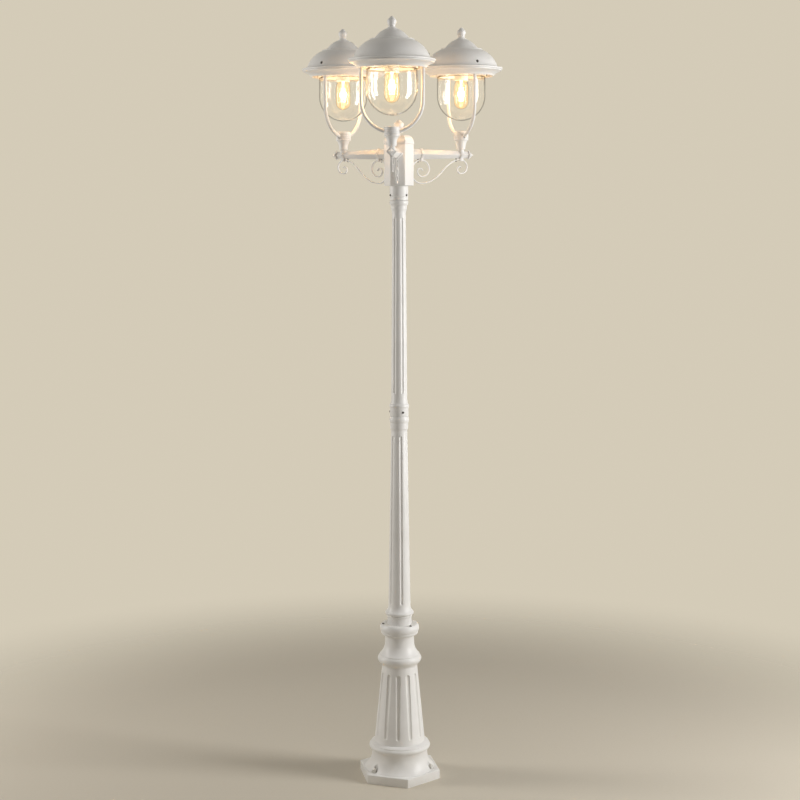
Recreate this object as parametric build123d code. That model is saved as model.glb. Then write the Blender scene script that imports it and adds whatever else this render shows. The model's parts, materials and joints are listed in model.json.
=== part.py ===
import os
from math import cos, radians, sin, sqrt

from build123d import *

os.makedirs("parts", exist_ok=True)

# Triple head lamp post. Millimetres, +Z up. The origin is the middle of the foot plate's underside,
# on the mast's axis. The front arm points along -Y, the others 120 degrees to each side of it.

# ---- fits ----
running_fit = 0.08  # radial clearance of a turning spigot in its socket
screw_fit = 0.2  # clearance round a screw, bar or lead in its hole
seat_gap = 0.3  # gap between a moving piece and a neighbour that it passes

# ---- foot and pedestal ----
lower_turn = 16.3  # degrees that the pedestal and lower mast are turned from the arms
plate_corner_radius = 125.7
plate_height = 27.6
plate_edge_chamfer = 1.5
flare_foot_radius = 104.0
flare_height = 57.5
flare_hollow = 9.0
torus_neck_radius = 84.0
torus_radius = 90.7
torus_height = 23.5
torus_bead_height = 14.5
torus_top_radius = 86.5
groove = 1.2  # depth of the turned grooves, and half their width
cone_foot_radius = 74.8
cone_height = 227.0
cone_top_radius = 52.4
ring_radius = 64.5
ring_height = 33.4
neck_radius = 42.4
neck_height = 63.0
collar_low_radius = 54.2
collar_low_height = 9.0
collar_radius = 57.7
collar_height = 22.6
shoulder_radius = 53.0
core_radius = 69.0
core_wall = 6.0
ledge_radius = 27.0
pedestal_flute_count = 12
pedestal_flute_radius = 9.5
pedestal_flute_depth = 3.0
pedestal_flute_margin = 14.0
foot_screw_slope = 45
foot_screw_length = 19.0
foot_screw_out = 51.0

# ---- anchors ----
anchor_count = 3
anchor_pitch_radius = 97.5
anchor_hole_radius = 5.0
anchor_bolt_radius = 4.0
washer_radius = 10.0
washer_height = 1.8
anchor_nut_width = 13.0
anchor_nut_height = 7.0
anchor_dome_radius = 5.8

# ---- mast ----
mast_foot_radius = 35.5
mast_foot_depth = 60.0
mast_foot_height = 21.4
foot_bead_radius = 42.0
foot_bead_height = 17.0
foot_fillet_height = 4.5
foot_flare_height = 20.0
lower_bottom_radius = 32.5
lower_top_radius = 23.8
lower_shaft_length = 508.0
mast_flute_count = 6
mast_flute_radius = 6.5
mast_flute_depth = 2.1
mast_flute_margin = 8.0
capital_ring_radius = 26.2
capital_ring_height = 34.0
capital_bead_radius = 28.5
capital_bead_height = 19.0
coupling_spigot_radius = 21.0
coupling_spigot_length = 34.0
coupling_radius = 27.0
coupling_height = 26.0
coupling_bead_radius = 28.4
coupling_bead_height = 11.0
coupling_flare_height = 26.0
upper_bottom_radius = 23.2
upper_top_radius = 19.8
upper_shaft_length = 515.0
top_flare_radius = 23.0
top_flare_height = 31.0
top_bead_radius = 27.0
top_bead_height = 14.0
hub_spigot_radius = 18.0
hub_spigot_length = 30.0
mast_wall = 5.5
spigot_headroom = 2.0

# ---- set screws ----
set_screw_radius = 3.0
set_screw_key_radius = 1.5  # to the corners of the hexagon socket
set_screw_key_depth = 2.5
set_screw_proud = 1.6

# ---- hub ----
hub_collar_ring_radius = 26.0
hub_collar_ring_height = 11.0
hub_collar_radius = 26.6
hub_collar_height = 31.0
hub_corner_radius = 42.5
hub_height = 117.5
hub_wall = 4.0
hub_floor = 6.0
cap_corner_radius = 44.6
cap_eave_height = 2.5
cap_dome_height = 31.5
cap_top_radius = 13.0
cap_plug_depth = 7.0
cap_curve = 82.0  # degrees of the dome's ellipse
cap_steps = 6
finial_stud_radius = 4.0
hub_finial_height = 38.0
hub_finial_radius = 14.0

# ---- arms and scrolls ----
lantern_reach = 198.6  # from the mast's axis to a lantern's axis
arm_root_diagonal = 31.0
arm_end_diagonal = 20.0
arm_drop = 28.0  # from the hub's rim down to the arms' axis
arm_past_stem = 23.0
arm_bore_radius = 5.5
arm_tenon_radius = 9.0
arm_tenon_length = 13.0
arm_nut_width = 24.0
arm_nut_height = 5.0
tip_diagonal = 27.0
tip_plate = 4.0
tip_point = 13.0
strip_thickness = 3.4
strip_width = 6.0
# bends of the scroll's strip as (radius, degrees), from the inner end by the hub, left turns positive
scroll_bends = (
    (8.4, 178), (16.2, 99.5), (23.2, 94.5), (25.0, 77.5), (33.5, 77), (33.0, 94), (68.0, 34.6), (155.0, 16),
    (98.0, -9.2), (100.0, -22), (24.3, -85.4), (18.7, -124.7), (11.2, -95.4), (6.9, -118),
)
scroll_heading = 98.0
scroll_drawn_reach = 160.0
clip_width = 8.0
clip_wall = 1.8
scroll_screw_radius = 1.6
scroll_screw_head = 2.8
scroll_screw_head_height = 2.0
scroll_screw_offset = 11.0

# ---- stem and stirrup ----
stem_saddle_radius = 9.5
stem_neck_radius = 8.0
stem_neck_height = 5.0
cup_low_radius = 12.5
cup_high_radius = 18.0
cup_height = 25.0
stem_ring_radius = 21.5
stem_ring_height = 12.4
stem_cap_height = 14.5
ring_groove = 1.2
yoke_width = 10.0
stirrup_radius = 84.5
bar_radius = 5.0
ear_flat = 3.6  # from the ear's middle to the flats that face in and out
ear_height = 25.0
leg_height = 105.0  # from the bend up to the roof's seat

# ---- gallery, globe and lamp ----
gallery_lip_radius = 116.5
gallery_foot_radius = 92.0
gallery_height = 18.0
gallery_wall = 2.5
fitter_radius = 72.5
fitter_wall = 3.0
fitter_height = 15.0
bridge_width = 26.0
bridge_ring_radius = 27.0
glass_screw_turn = -9.0
glass_screw_radius = 2.0
glass_screw_head = 4.0
glass_screw_head_length = 5.0
globe_radius = 70.5
globe_wall = 3.0
globe_neck_radius = 65.0
globe_neck_height = 13.5
globe_side = 57.3
holder_radius = 20.0
holder_shoulder_radius = 14.5
holder_skirt = 27.0
holder_top = 18.0
bulb_cap_radius = 13.3
bulb_cap_length = 25.0
thread_count = 4
thread_pitch = 3.6
thread_depth = 0.8
contact_radius = 4.5
bulb_neck_radius = 15.5
bulb_radius = 21.5
bulb_wall = 1.2
bulb_length = 82.0
filament_count = 4
filament_radius = 1.1
filament_length = 38.0
filament_circle = 6.0

# ---- roof ----
roof_lip_radius = 118.8
roof_lip_height = 5.5
roof_wall = 2.5
lip_slope = 3.0
lower_dome_radius = 105.0
lower_dome_height = 46.0
lower_dome_crown = 6.5
step_radius = 64.0
step_height = 7.0
upper_dome_radius = 47.0
upper_dome_height = 24.0
upper_dome_crown = 2.5
roof_crown_radius = 18.0
roof_finial_height = 34.4
roof_finial_radius = 12.3
roof_screw_radius = 2.2
roof_screw_head = 4.0
roof_screw_head_height = 3.0
roof_screw_height = 17.0  # above the gallery's rim
roof_screw_seat = 99.4  # from the lantern's axis to the seat of the head

# ---- wiring ----
lead_radius = 2.3
lead_bend = 8.0
trunk_radius = 4.0
terminal_size = 26.0
terminal_height = 14.0
base_terminal_height = 150.0
base_terminal_length = 40.0
lug_thickness = 8.0
lug_reach = 30.0
lug_width = 34.0
trunk_bend = 60.0
hub_bend = 14.0
holder_bend = 12.0

# ---- heights worked out from the sizes ----
shoulder_z = (plate_height + flare_height + torus_height + cone_height + ring_height + neck_height
              + collar_low_height + collar_height)
foot_seat_z = shoulder_z - mast_foot_depth
foot_bead_z = shoulder_z + mast_foot_height
lower_shaft_z = foot_bead_z + foot_bead_height + foot_flare_height
lower_top_z = lower_shaft_z + lower_shaft_length
coupling_z = lower_top_z + capital_ring_height + capital_bead_height
upper_shaft_z = coupling_z + coupling_height + coupling_bead_height + coupling_flare_height
upper_top_z = upper_shaft_z + upper_shaft_length
hub_seat_z = upper_top_z + top_flare_height + top_bead_height
hub_z = hub_seat_z + hub_collar_ring_height + hub_collar_height
hub_rim_z = hub_z + hub_height
arm_z = hub_rim_z - arm_drop
hub_face = hub_corner_radius * cos(radians(30))
arm_length = lantern_reach + arm_past_stem - hub_face
arm_angles = {"front": -90, "right": 30, "left": 150}


def arm_half_diagonal(out):
    """Half the arm's diagonal at a distance out from the mast's axis."""
    share = (out - hub_face) / arm_length
    return (arm_root_diagonal + (arm_end_diagonal - arm_root_diagonal) * share) / 2


stem_foot_z = arm_z + arm_half_diagonal(lantern_reach)
stem_ring_z = stem_foot_z + stem_neck_height + cup_height
bar_z = stem_ring_z + stem_ring_height  # the stirrup bar's centre line at its lowest
stirrup_z = bar_z + stirrup_radius
rim_z = stirrup_z + leg_height  # the gallery's rim, where the roof seats
deck_z = rim_z - gallery_wall
fitter_z = deck_z - fitter_height
globe_z = fitter_z - seat_gap  # the globe's shoulder
holder_z = deck_z - holder_skirt
bulb_z = holder_z - seat_gap
lead_top_z = rim_z + holder_top / 2
roof_top_z = rim_z + roof_lip_height + lip_slope + lower_dome_height + step_height + upper_dome_height


# ---- building blocks ----
def outline(start, *steps):
    """A closed outline of straight lines, and of arcs where a step gives a third value, its sagitta."""
    edges, here = [], start
    for step in steps:
        there = step[:2]
        edges.append(SagittaArc(here, there, step[2]) if len(step) == 3 else Line(here, there))
        here = there
    edges.append(Line(here, start))
    return make_face(edges)


def turned(start, *steps):
    """A solid of revolution about the mast's axis, from (radius, height) steps."""
    return revolve(Plane.XZ * outline(start, *steps), Axis.Z)


def bar(radius, low, high):
    """An upright round bar from one height to another."""
    return Pos(0, 0, low) * extrude(Circle(radius), high - low)


def prism(corner_radius, low, high, turn, sides=6):
    """An upright regular prism."""
    section = Rot(0, 0, turn) * RegularPolygon(corner_radius, sides)
    return Pos(0, 0, low) * extrude(section, high - low)


def spoke(radius, near, far, height, angle):
    """A level round bar, pointing out from the axis at an angle."""
    return Rot(0, 0, angle) * Pos(near, 0, height) * Rot(0, 90, 0) * extrude(Circle(radius), far - near)


def ringed(count, shape, turn=0.0):
    """Equally spaced copies of a shape round the axis."""
    return [Rot(0, 0, turn + 360 / count * i) * shape for i in range(count)]


def save(name, *shapes):
    """Write one node: one solid, or a group of separate solids."""
    solids = [solid for shape in shapes for solid in shape.solids()]
    export_step(solids[0] if len(solids) == 1 else Compound(children=solids), f"parts/{name}.step")


def flute(radius, depth, low_radius, low, high_radius, high):
    """A round-ended cutter along a taper, sunk to a depth, on the +X side."""
    sink = radius - depth
    foot, top = Vector(low_radius + sink, 0, low + radius), Vector(high_radius + sink, 0, high - radius)
    run = top - foot
    body = Plane(origin=foot, z_dir=run) * extrude(Circle(radius), run.length)
    return body + Pos(foot) * Sphere(radius) + Pos(top) * Sphere(radius)


def between(low_radius, low, high_radius, high, height):
    """The radius of a taper at a height."""
    return low_radius + (high_radius - low_radius) * (height - low) / (high - low)


# ---- pedestal ----
torus_z = plate_height + flare_height
cone_z = torus_z + torus_height
ring_z = cone_z + cone_height
neck_z = ring_z + ring_height
collar_z = neck_z + neck_height
socket_radius = mast_foot_radius + running_fit
core_top_radius = cone_top_radius - core_wall
anchor_turn = lower_turn - 90 + 60


def foot_screw(extra=0.0, key=True):
    """A set screw that slopes through the shoulder on to the mast's foot, on the +X side."""
    screw = extrude(Circle(set_screw_radius + extra), -foot_screw_length)
    if key:
        screw -= extrude(RegularPolygon(set_screw_key_radius, 6), -set_screw_key_depth)
    return Pos(foot_screw_out, 0, shoulder_z + set_screw_proud) * Rot(0, foot_screw_slope, 0) * screw


def pedestal():
    plate = prism(plate_corner_radius, 0, plate_height, lower_turn - 90)
    plate = chamfer(plate.edges().group_by(Axis.Z)[-1], plate_edge_chamfer)
    bead_z = torus_z + torus_bead_height
    column = turned(
        (core_radius, 0),
        (flare_foot_radius, 0),
        (flare_foot_radius, plate_height),
        (torus_neck_radius, torus_z, flare_hollow),
        (torus_top_radius, bead_z, (torus_neck_radius + torus_top_radius) / 2 - torus_radius),
        (torus_top_radius - groove, bead_z + groove),
        (torus_top_radius, bead_z + 2 * groove),
        (cone_foot_radius, cone_z, -1.0),
        (cone_top_radius, ring_z),
        (cone_top_radius + 4, ring_z + ring_height * 0.3, 1.5),
        (cone_top_radius + 6.5, ring_z + ring_height * 0.36),
        (cone_top_radius + 7.5, neck_z, (2 * cone_top_radius + 14) / 2 - ring_radius),
        (cone_top_radius + 7.5 - groove, neck_z + groove),
        (cone_top_radius + 7.5, neck_z + 2 * groove),
        (neck_radius + 1.5, neck_z + neck_height * 0.5, 3.0),
        (neck_radius, collar_z - 4),
        (neck_radius + 3, collar_z),
        (collar_low_radius, collar_z + collar_low_height, -4.0),
        (collar_low_radius + 1.5, collar_z + collar_low_height + 1),
        (shoulder_radius, shoulder_z, (collar_low_radius + 1.5 + shoulder_radius) / 2 - collar_radius),
        (socket_radius, shoulder_z),
        (socket_radius, foot_seat_z),
        (ledge_radius, foot_seat_z),
        (ledge_radius, neck_z + 6),
        (core_top_radius, ring_z),
        (core_radius, cone_z),
    )
    cutter = flute(
        pedestal_flute_radius, pedestal_flute_depth,
        between(cone_foot_radius, cone_z, cone_top_radius, ring_z, cone_z + pedestal_flute_margin),
        cone_z + pedestal_flute_margin,
        between(cone_foot_radius, cone_z, cone_top_radius, ring_z, ring_z - pedestal_flute_margin),
        ring_z - pedestal_flute_margin,
    )
    step = 360 / pedestal_flute_count
    column -= ringed(pedestal_flute_count, cutter, lower_turn - 90 + step / 2)
    wall_radius = between(core_radius, cone_z, core_top_radius, ring_z, base_terminal_height)
    lug_length = wall_radius + 1 - lug_reach
    lug = Box(lug_length, lug_width, lug_thickness, align=(Align.MIN, Align.CENTER, Align.MAX))
    lug = Rot(0, 0, lower_turn - 90) * Pos(lug_reach, 0, base_terminal_height) * lug
    shape = plate - bar(core_radius, 0, plate_height) + column + lug
    pads = bar(washer_radius + 1, plate_height, plate_height + flare_height / 2)
    holes = bar(anchor_hole_radius, 0, plate_height)
    shape -= ringed(anchor_count, Pos(anchor_pitch_radius, 0, 0) * pads, anchor_turn)
    shape -= ringed(anchor_count, Pos(anchor_pitch_radius, 0, 0) * holes, anchor_turn)
    return shape - ringed(3, foot_screw(screw_fit, key=False), lower_turn - 90 + 30)


def anchor_washer():
    return bar(washer_radius, 0, washer_height) - bar(anchor_bolt_radius + screw_fit, 0, washer_height)


def anchor_nut():
    """A domed cap nut, with its blind bore open below."""
    hexagon = prism(anchor_nut_width / sqrt(3), 0, anchor_nut_height, 0)
    dome = Pos(0, 0, anchor_nut_height) * Sphere(anchor_dome_radius)
    dome &= bar(anchor_nut_width, anchor_nut_height, anchor_nut_height + anchor_dome_radius)
    return hexagon + dome - bar(anchor_bolt_radius, 0, anchor_nut_height + anchor_dome_radius / 2)


save("pedestal", pedestal())
washer = Pos(anchor_pitch_radius, 0, plate_height) * anchor_washer()
nut = Pos(anchor_pitch_radius, 0, plate_height + washer_height) * anchor_nut()
save("anchor_washers", *ringed(anchor_count, washer, anchor_turn))
save("anchor_nuts", *ringed(anchor_count, nut, anchor_turn))
save("foot_screws", *ringed(3, foot_screw(), lower_turn - 90 + 30))


# ---- masts ----
def mast_flutes(low_radius, low, high_radius, high, turn):
    """The round-ended flutes down a mast's tapered shaft."""
    start, end = low + mast_flute_margin - mast_flute_radius, high - mast_flute_margin + mast_flute_radius
    cutter = flute(
        mast_flute_radius, mast_flute_depth,
        between(low_radius, low, high_radius, high, start), start,
        between(low_radius, low, high_radius, high, end), end,
    )
    return ringed(mast_flute_count, cutter, turn)


def lower_mast():
    bead_z = foot_bead_z + foot_bead_height
    fillet_radius, fillet_z = mast_foot_radius + 2.7, foot_bead_z + foot_fillet_height
    ring_low = lower_top_z + capital_ring_height - capital_bead_height
    shape = turned(
        (lower_bottom_radius - mast_wall, foot_seat_z),
        (mast_foot_radius, foot_seat_z),
        (mast_foot_radius, foot_bead_z),
        (mast_foot_radius + 2, foot_bead_z + 1.5),
        (fillet_radius, fillet_z),
        (fillet_radius - groove, fillet_z + groove),
        (fillet_radius, fillet_z + 2 * groove),
        (foot_bead_radius - 3, bead_z, (fillet_radius + foot_bead_radius - 3) / 2 - foot_bead_radius),
        (lower_bottom_radius, lower_shaft_z, 2.0),
        (lower_top_radius, lower_top_z),
        (lower_top_radius + 1, ring_low, 0.6),
        (capital_ring_radius, ring_low + 1.5),
        (capital_ring_radius, coupling_z - capital_bead_height),
        (coupling_radius, coupling_z - 2, (capital_ring_radius + coupling_radius) / 2 - capital_bead_radius),
        (coupling_radius, coupling_z),
        (coupling_spigot_radius, coupling_z),
        (coupling_spigot_radius, coupling_z + coupling_spigot_length),
        (coupling_spigot_radius - mast_wall, coupling_z + coupling_spigot_length),
        (coupling_spigot_radius - mast_wall, coupling_z),
        (lower_bottom_radius - mast_wall, lower_shaft_z),
    )
    flutes = mast_flutes(lower_bottom_radius, lower_shaft_z, lower_top_radius, lower_top_z, lower_turn - 90)
    return shape - flutes


def upper_mast():
    socket = coupling_spigot_radius + running_fit
    socket_z = coupling_z + coupling_spigot_length + spigot_headroom
    cylinder_z = coupling_z + coupling_height
    bead_z = cylinder_z + coupling_bead_height
    bore = hub_spigot_radius - mast_wall
    bead_bulge = (top_flare_radius + hub_collar_ring_radius) / 2 - top_bead_radius
    shape = turned(
        (socket, coupling_z),
        (coupling_radius, coupling_z),
        (coupling_radius, cylinder_z),
        (coupling_radius - 1.5, bead_z, coupling_radius - coupling_bead_radius - 1),
        (upper_bottom_radius, upper_shaft_z, 1.0),
        (upper_top_radius, upper_top_z),
        (top_flare_radius - 1, upper_top_z + top_flare_height * 0.6, 1.0),
        (top_flare_radius, upper_top_z + top_flare_height * 0.62),
        (top_flare_radius, upper_top_z + top_flare_height),
        (hub_collar_ring_radius, hub_seat_z - 1, bead_bulge),
        (hub_collar_ring_radius - 1, hub_seat_z),
        (hub_spigot_radius, hub_seat_z),
        (hub_spigot_radius, hub_seat_z + hub_spigot_length),
        (bore, hub_seat_z + hub_spigot_length),
        (bore, hub_seat_z),
        (coupling_spigot_radius - mast_wall, socket_z + 8),
        (coupling_spigot_radius - mast_wall, socket_z),
        (socket, socket_z),
    )
    shape -= mast_flutes(upper_bottom_radius, upper_shaft_z, upper_top_radius, upper_top_z, -90 + 30)
    return shape - ringed(3, coupling_screw(screw_fit, key=False), -90 + 30)


def grub(inner, outer, height, extra, key):
    """A level set screw on the +X side, from near the spigot to just proud of its collar."""
    screw = spoke(set_screw_radius + extra, inner, outer, height, 0)
    if key:
        hexagon = extrude(RegularPolygon(set_screw_key_radius, 6), set_screw_key_depth)
        screw -= Pos(outer - set_screw_key_depth, 0, height) * Rot(0, 90, 0) * hexagon
    return screw


def coupling_screw(extra=0.0, key=True):
    inner = coupling_spigot_radius + running_fit + (seat_gap if key else 0)
    height = coupling_z + coupling_height / 2
    return grub(inner, coupling_radius + set_screw_proud, height, extra, key)


def hub_screw(extra=0.0, key=True):
    inner = hub_spigot_radius + running_fit + (seat_gap if key else 0)
    height = hub_seat_z + hub_collar_ring_height + set_screw_radius + 1
    return grub(inner, hub_collar_radius + set_screw_proud, height, extra, key)


save("lower_mast", lower_mast())
save("upper_mast", upper_mast())
save("coupling_screws", *ringed(3, coupling_screw(), -90 + 30))


# ---- hub ----
hub_throat_radius = trunk_radius + 2.5
hub_inner_corner = hub_corner_radius - hub_wall / cos(radians(30))
socket_top_z = hub_seat_z + hub_spigot_length + spigot_headroom


def hub():
    ring_radius_out = hub_collar_ring_radius
    shape = turned(
        (hub_spigot_radius + running_fit, hub_seat_z),
        (ring_radius_out - 1, hub_seat_z),
        (ring_radius_out, hub_seat_z + 1),
        (ring_radius_out, hub_seat_z + hub_collar_ring_height - 1.5),
        (ring_radius_out - 1.2, hub_seat_z + hub_collar_ring_height - 0.8),
        (hub_collar_radius, hub_seat_z + hub_collar_ring_height),
        (hub_collar_radius, hub_z + hub_floor),
        (hub_throat_radius, hub_z + hub_floor),
        (hub_throat_radius, socket_top_z),
        (hub_spigot_radius + running_fit, socket_top_z),
    )
    box = prism(hub_corner_radius, hub_z, hub_rim_z, 0)
    box -= prism(hub_inner_corner, hub_z + hub_floor, hub_rim_z, 0)
    box -= bar(hub_collar_radius, hub_z, hub_z + hub_floor)
    shape += box
    for angle in arm_angles.values():
        shape -= spoke(arm_tenon_radius + screw_fit, hub_inner_corner / 2, hub_corner_radius, arm_z, angle)
    return shape - ringed(3, hub_screw(screw_fit, key=False), -90 + 60)


def hub_cap():
    """Six-sided dome, drawn in along most of a quarter of an ellipse."""
    dome = prism(cap_corner_radius, hub_rim_z, hub_rim_z + cap_eave_height, 0)
    low_radius, low = cap_corner_radius, hub_rim_z + cap_eave_height
    end = radians(cap_curve)
    for step in range(1, cap_steps + 1):
        angle = end * step / cap_steps
        radius = cap_corner_radius - (cap_corner_radius - cap_top_radius) * (1 - cos(angle)) / (1 - cos(end))
        top = hub_rim_z + cap_eave_height + (cap_dome_height - cap_eave_height) * sin(angle) / sin(end)
        low_section = Pos(0, 0, low) * RegularPolygon(low_radius, 6)
        dome += loft([low_section, Pos(0, 0, top) * RegularPolygon(radius, 6)], ruled=True)
        low_radius, low = radius, top
    plug = prism(hub_inner_corner - screw_fit, hub_rim_z - cap_plug_depth, hub_rim_z, 0)
    plug -= prism(hub_inner_corner - screw_fit - hub_wall, hub_rim_z - cap_plug_depth, hub_rim_z, 0)
    hollow = Pos(0, 0, hub_rim_z) * loft([
        RegularPolygon(hub_inner_corner - hub_wall, 6),
        Pos(0, 0, cap_dome_height - 9) * RegularPolygon(cap_top_radius, 6),
    ], ruled=True)
    stud_hole = bar(finial_stud_radius, hub_rim_z, hub_rim_z + cap_dome_height)
    return dome + plug - hollow - stud_hole


def finial(base_radius, neck_radius, bulb_radius_out, height):
    """A turned pointed knob standing on the ground plane."""
    return turned(
        (0, 0),
        (base_radius, 0),
        (base_radius, height * 0.05),
        (neck_radius, height * 0.26, height * 0.05),
        (neck_radius + 0.6, height * 0.32),
        (bulb_radius_out, height * 0.56, height * -0.03),
        (bulb_radius_out * 0.72, height * 0.78, height * -0.045),
        (1.2, height * 0.985, height * -0.02),
        (0, height),
    )


def hub_finial():
    knob = finial(cap_top_radius - 1.5, hub_finial_radius * 0.6, hub_finial_radius, hub_finial_height)
    stud = bar(finial_stud_radius, -10, 0)
    return Pos(0, 0, hub_rim_z + cap_dome_height) * (knob + stud)


def hub_terminal():
    block = Box(terminal_size, terminal_size, terminal_height, align=(Align.CENTER, Align.CENTER, Align.MIN))
    return Pos(0, 0, hub_z + hub_floor) * block


save("hub", hub())
save("hub_cap", hub_cap())
save("hub_finial", hub_finial())
save("hub_screws", *ringed(3, hub_screw(), -90 + 60))
save("hub_terminal", hub_terminal())


# ---- wiring ----
def swept(path, radius):
    """A round lead along a path that starts and ends straight."""
    return sweep(Plane(origin=path @ 0, z_dir=path % 0) * Circle(radius), path=path)


def trunk_lead():
    """From the block in the pedestal to the block in the hub, down the middle of the mast."""
    side = lug_reach + base_terminal_length / 2 - 4
    turn = radians(lower_turn - 90)
    low_z = base_terminal_height + terminal_height
    aside = Vector(cos(turn), sin(turn), 0) * side
    straight_z = low_z + trunk_bend * 0.75
    points = [
        aside + Vector(0, 0, low_z),
        aside + Vector(0, 0, straight_z),
        Vector(0, 0, straight_z + 2.2 * side),
        Vector(0, 0, hub_z + hub_floor - seat_gap),
    ]
    return swept(FilletPolyline(*points, radius=[trunk_bend, trunk_bend]), trunk_radius)


def base_terminal():
    block = Box(base_terminal_length - 12, lug_width - 8, terminal_height,
                align=(Align.MIN, Align.CENTER, Align.MIN))
    return Rot(0, 0, lower_turn - 90) * Pos(lug_reach + 2, 0, base_terminal_height) * block


save("trunk_lead", trunk_lead())
save("base_terminal", base_terminal())


# ---- arms, in a frame where the arm points along +X ----
def across(out):
    """The plane square to the arm at a distance out, with its origin on the arm's axis."""
    return Plane(origin=(out, 0, arm_z), x_dir=(0, 1, 0), z_dir=(1, 0, 0))


def diamond(half_diagonal):
    return RegularPolygon(half_diagonal, 4)


def arm_body():
    ends = [across(out) * diamond(arm_half_diagonal(out)) for out in (hub_face, hub_face + arm_length)]
    return loft(ends, ruled=True)


def arm():
    body = arm_body() + spoke(arm_tenon_radius, hub_face - arm_tenon_length, hub_face, arm_z, 0)
    body -= spoke(arm_bore_radius, hub_face - arm_tenon_length, lantern_reach + arm_bore_radius, arm_z, 0)
    body -= Pos(lantern_reach, 0, 0) * bar(lead_radius + 2, arm_z, stem_foot_z)
    return body - scroll_screw_holes()


def arm_nut():
    """The hexagon nut on the arm's threaded tenon, inside the hub."""
    far = hub_inner_corner * cos(radians(30))
    nut = RegularPolygon(arm_nut_width / sqrt(3), 6) - Circle(arm_tenon_radius)
    return Pos(far - arm_nut_height, 0, arm_z) * Rot(0, 90, 0) * extrude(nut, arm_nut_height)


def arm_tip():
    """A square rosette set on its corner, with a stepped point."""
    end = hub_face + arm_length
    half = tip_diagonal / 2
    plate = extrude(across(end) * diamond(half), tip_plate)
    foot = across(end + tip_plate) * diamond(half * 0.72)
    point = across(end + tip_plate + tip_point) * diamond(1.0)
    return plate + loft([foot, point], ruled=True)


# ---- scroll ----
scroll_scale = (lantern_reach - hub_face) / (scroll_drawn_reach + 1.8)
scroll_start_out = hub_face + (36.6 * scroll_scale) + strip_thickness / 2 + 0.1


def scroll_path(start_z):
    """The strip's centre line: arcs that run on from one another, in a plane with X out and Y up."""
    here, heading, arcs = Vector(scroll_start_out, start_z), scroll_heading, []
    for radius, turn in scroll_bends:
        tangent = (cos(radians(heading)), sin(radians(heading)))
        arc = JernArc(here, tangent, radius * scroll_scale, turn)
        arcs.append(arc)
        here, heading = arc @ 1, heading + turn
    return arcs


def strip_top(arcs, near, far):
    """The highest point of the centre line between two distances out."""
    points = [arc @ (step / 40) for arc in arcs for step in range(41)]
    return max((point for point in points if near < point.X < far), key=lambda point: point.Y)


drawn = scroll_path(0)
quarter_span = (lantern_reach - hub_face) / 4
spiral_top = strip_top(drawn, hub_face, hub_face + 2 * quarter_span)
curl_top = strip_top(drawn, lantern_reach - quarter_span, lantern_reach + quarter_span)
scroll_z = min(
    arm_z - arm_half_diagonal(spiral_top.X) - strip_thickness / 2 - spiral_top.Y,
    arm_z - arm_half_diagonal(curl_top.X) - strip_thickness / 2 - curl_top.Y,
)
clip_out = spiral_top.X
scroll_screw_places = (clip_out - scroll_screw_offset, lantern_reach - scroll_screw_offset - yoke_width / 2)


def strip_low(out, reach):
    """The lowest height of the strip's underside below the arm, within a reach of a distance out."""
    points = [arc @ (step / 80) for arc in scroll_path(scroll_z) for step in range(81)]
    upper = [point for point in points if point.Y > scroll_z + spiral_top.Y / 2]
    return min(point.Y for point in upper if abs(point.X - out) <= reach + 0.5) - strip_thickness / 2


def scroll_screw_holes():
    radius = scroll_screw_radius + screw_fit / 2
    return [
        Pos(out, 0, 0) * bar(radius, strip_low(out, scroll_screw_head) - 1, arm_z - 6)
        for out in scroll_screw_places
    ]


def scroll():
    ribbon = trace(Wire(scroll_path(scroll_z)), line_width=strip_thickness)
    strip = extrude(Plane.XZ * ribbon, strip_width / 2, both=True)
    return strip - scroll_screw_holes()


def scroll_screw(out):
    head_z = strip_low(out, scroll_screw_head) - 0.1
    head = bar(scroll_screw_head, head_z - scroll_screw_head_height, head_z)
    return Pos(out, 0, 0) * (head + bar(scroll_screw_radius, head_z, arm_z - 7))


def band_section(out, width, wall):
    """The outline round the arm and the scroll's strip below it."""
    half = arm_half_diagonal(out) + wall * sqrt(2)
    drop = arm_z - strip_low(out, width / 2) + 0.1 + wall
    side = strip_width / 2 + 0.05 + wall
    return diamond(half) + Pos(0, -drop / 2) * Rectangle(2 * side, drop)


def band(out, width, wall=clip_wall):
    """A closed band round the arm and the strip."""
    plane = across(out - width / 2)
    inner = arm_half_diagonal(out - width / 2) - arm_half_diagonal(out)
    return extrude(plane * (band_section(out, width, wall) - band_section(out, width, inner)), width)


# ---- stem and stirrup, in the same frame ----
def bar_solid(extra):
    """The bent round bar up to the gallery's deck, grown by a clearance."""
    reach, side = lantern_reach, stirrup_radius
    path = Wire([
        Line((reach, -side, deck_z), (reach, -side, stirrup_z)),
        ThreePointArc((reach, -side, stirrup_z), (reach, 0, bar_z), (reach, side, stirrup_z)),
        Line((reach, side, stirrup_z), (reach, side, deck_z)),
    ])
    return swept(path, bar_radius + extra)


def ears(extra):
    """The bar's ends, flattened on two sides, that pass up through the gallery's deck."""
    section = Circle(bar_radius + extra) & Rectangle(2 * bar_radius + 2 * extra, 2 * ear_flat + 2 * extra)
    ear = extrude(section, ear_height + gallery_wall)
    return [Pos(lantern_reach, side * stirrup_radius, deck_z) * ear for side in (-1, 1)]


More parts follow.
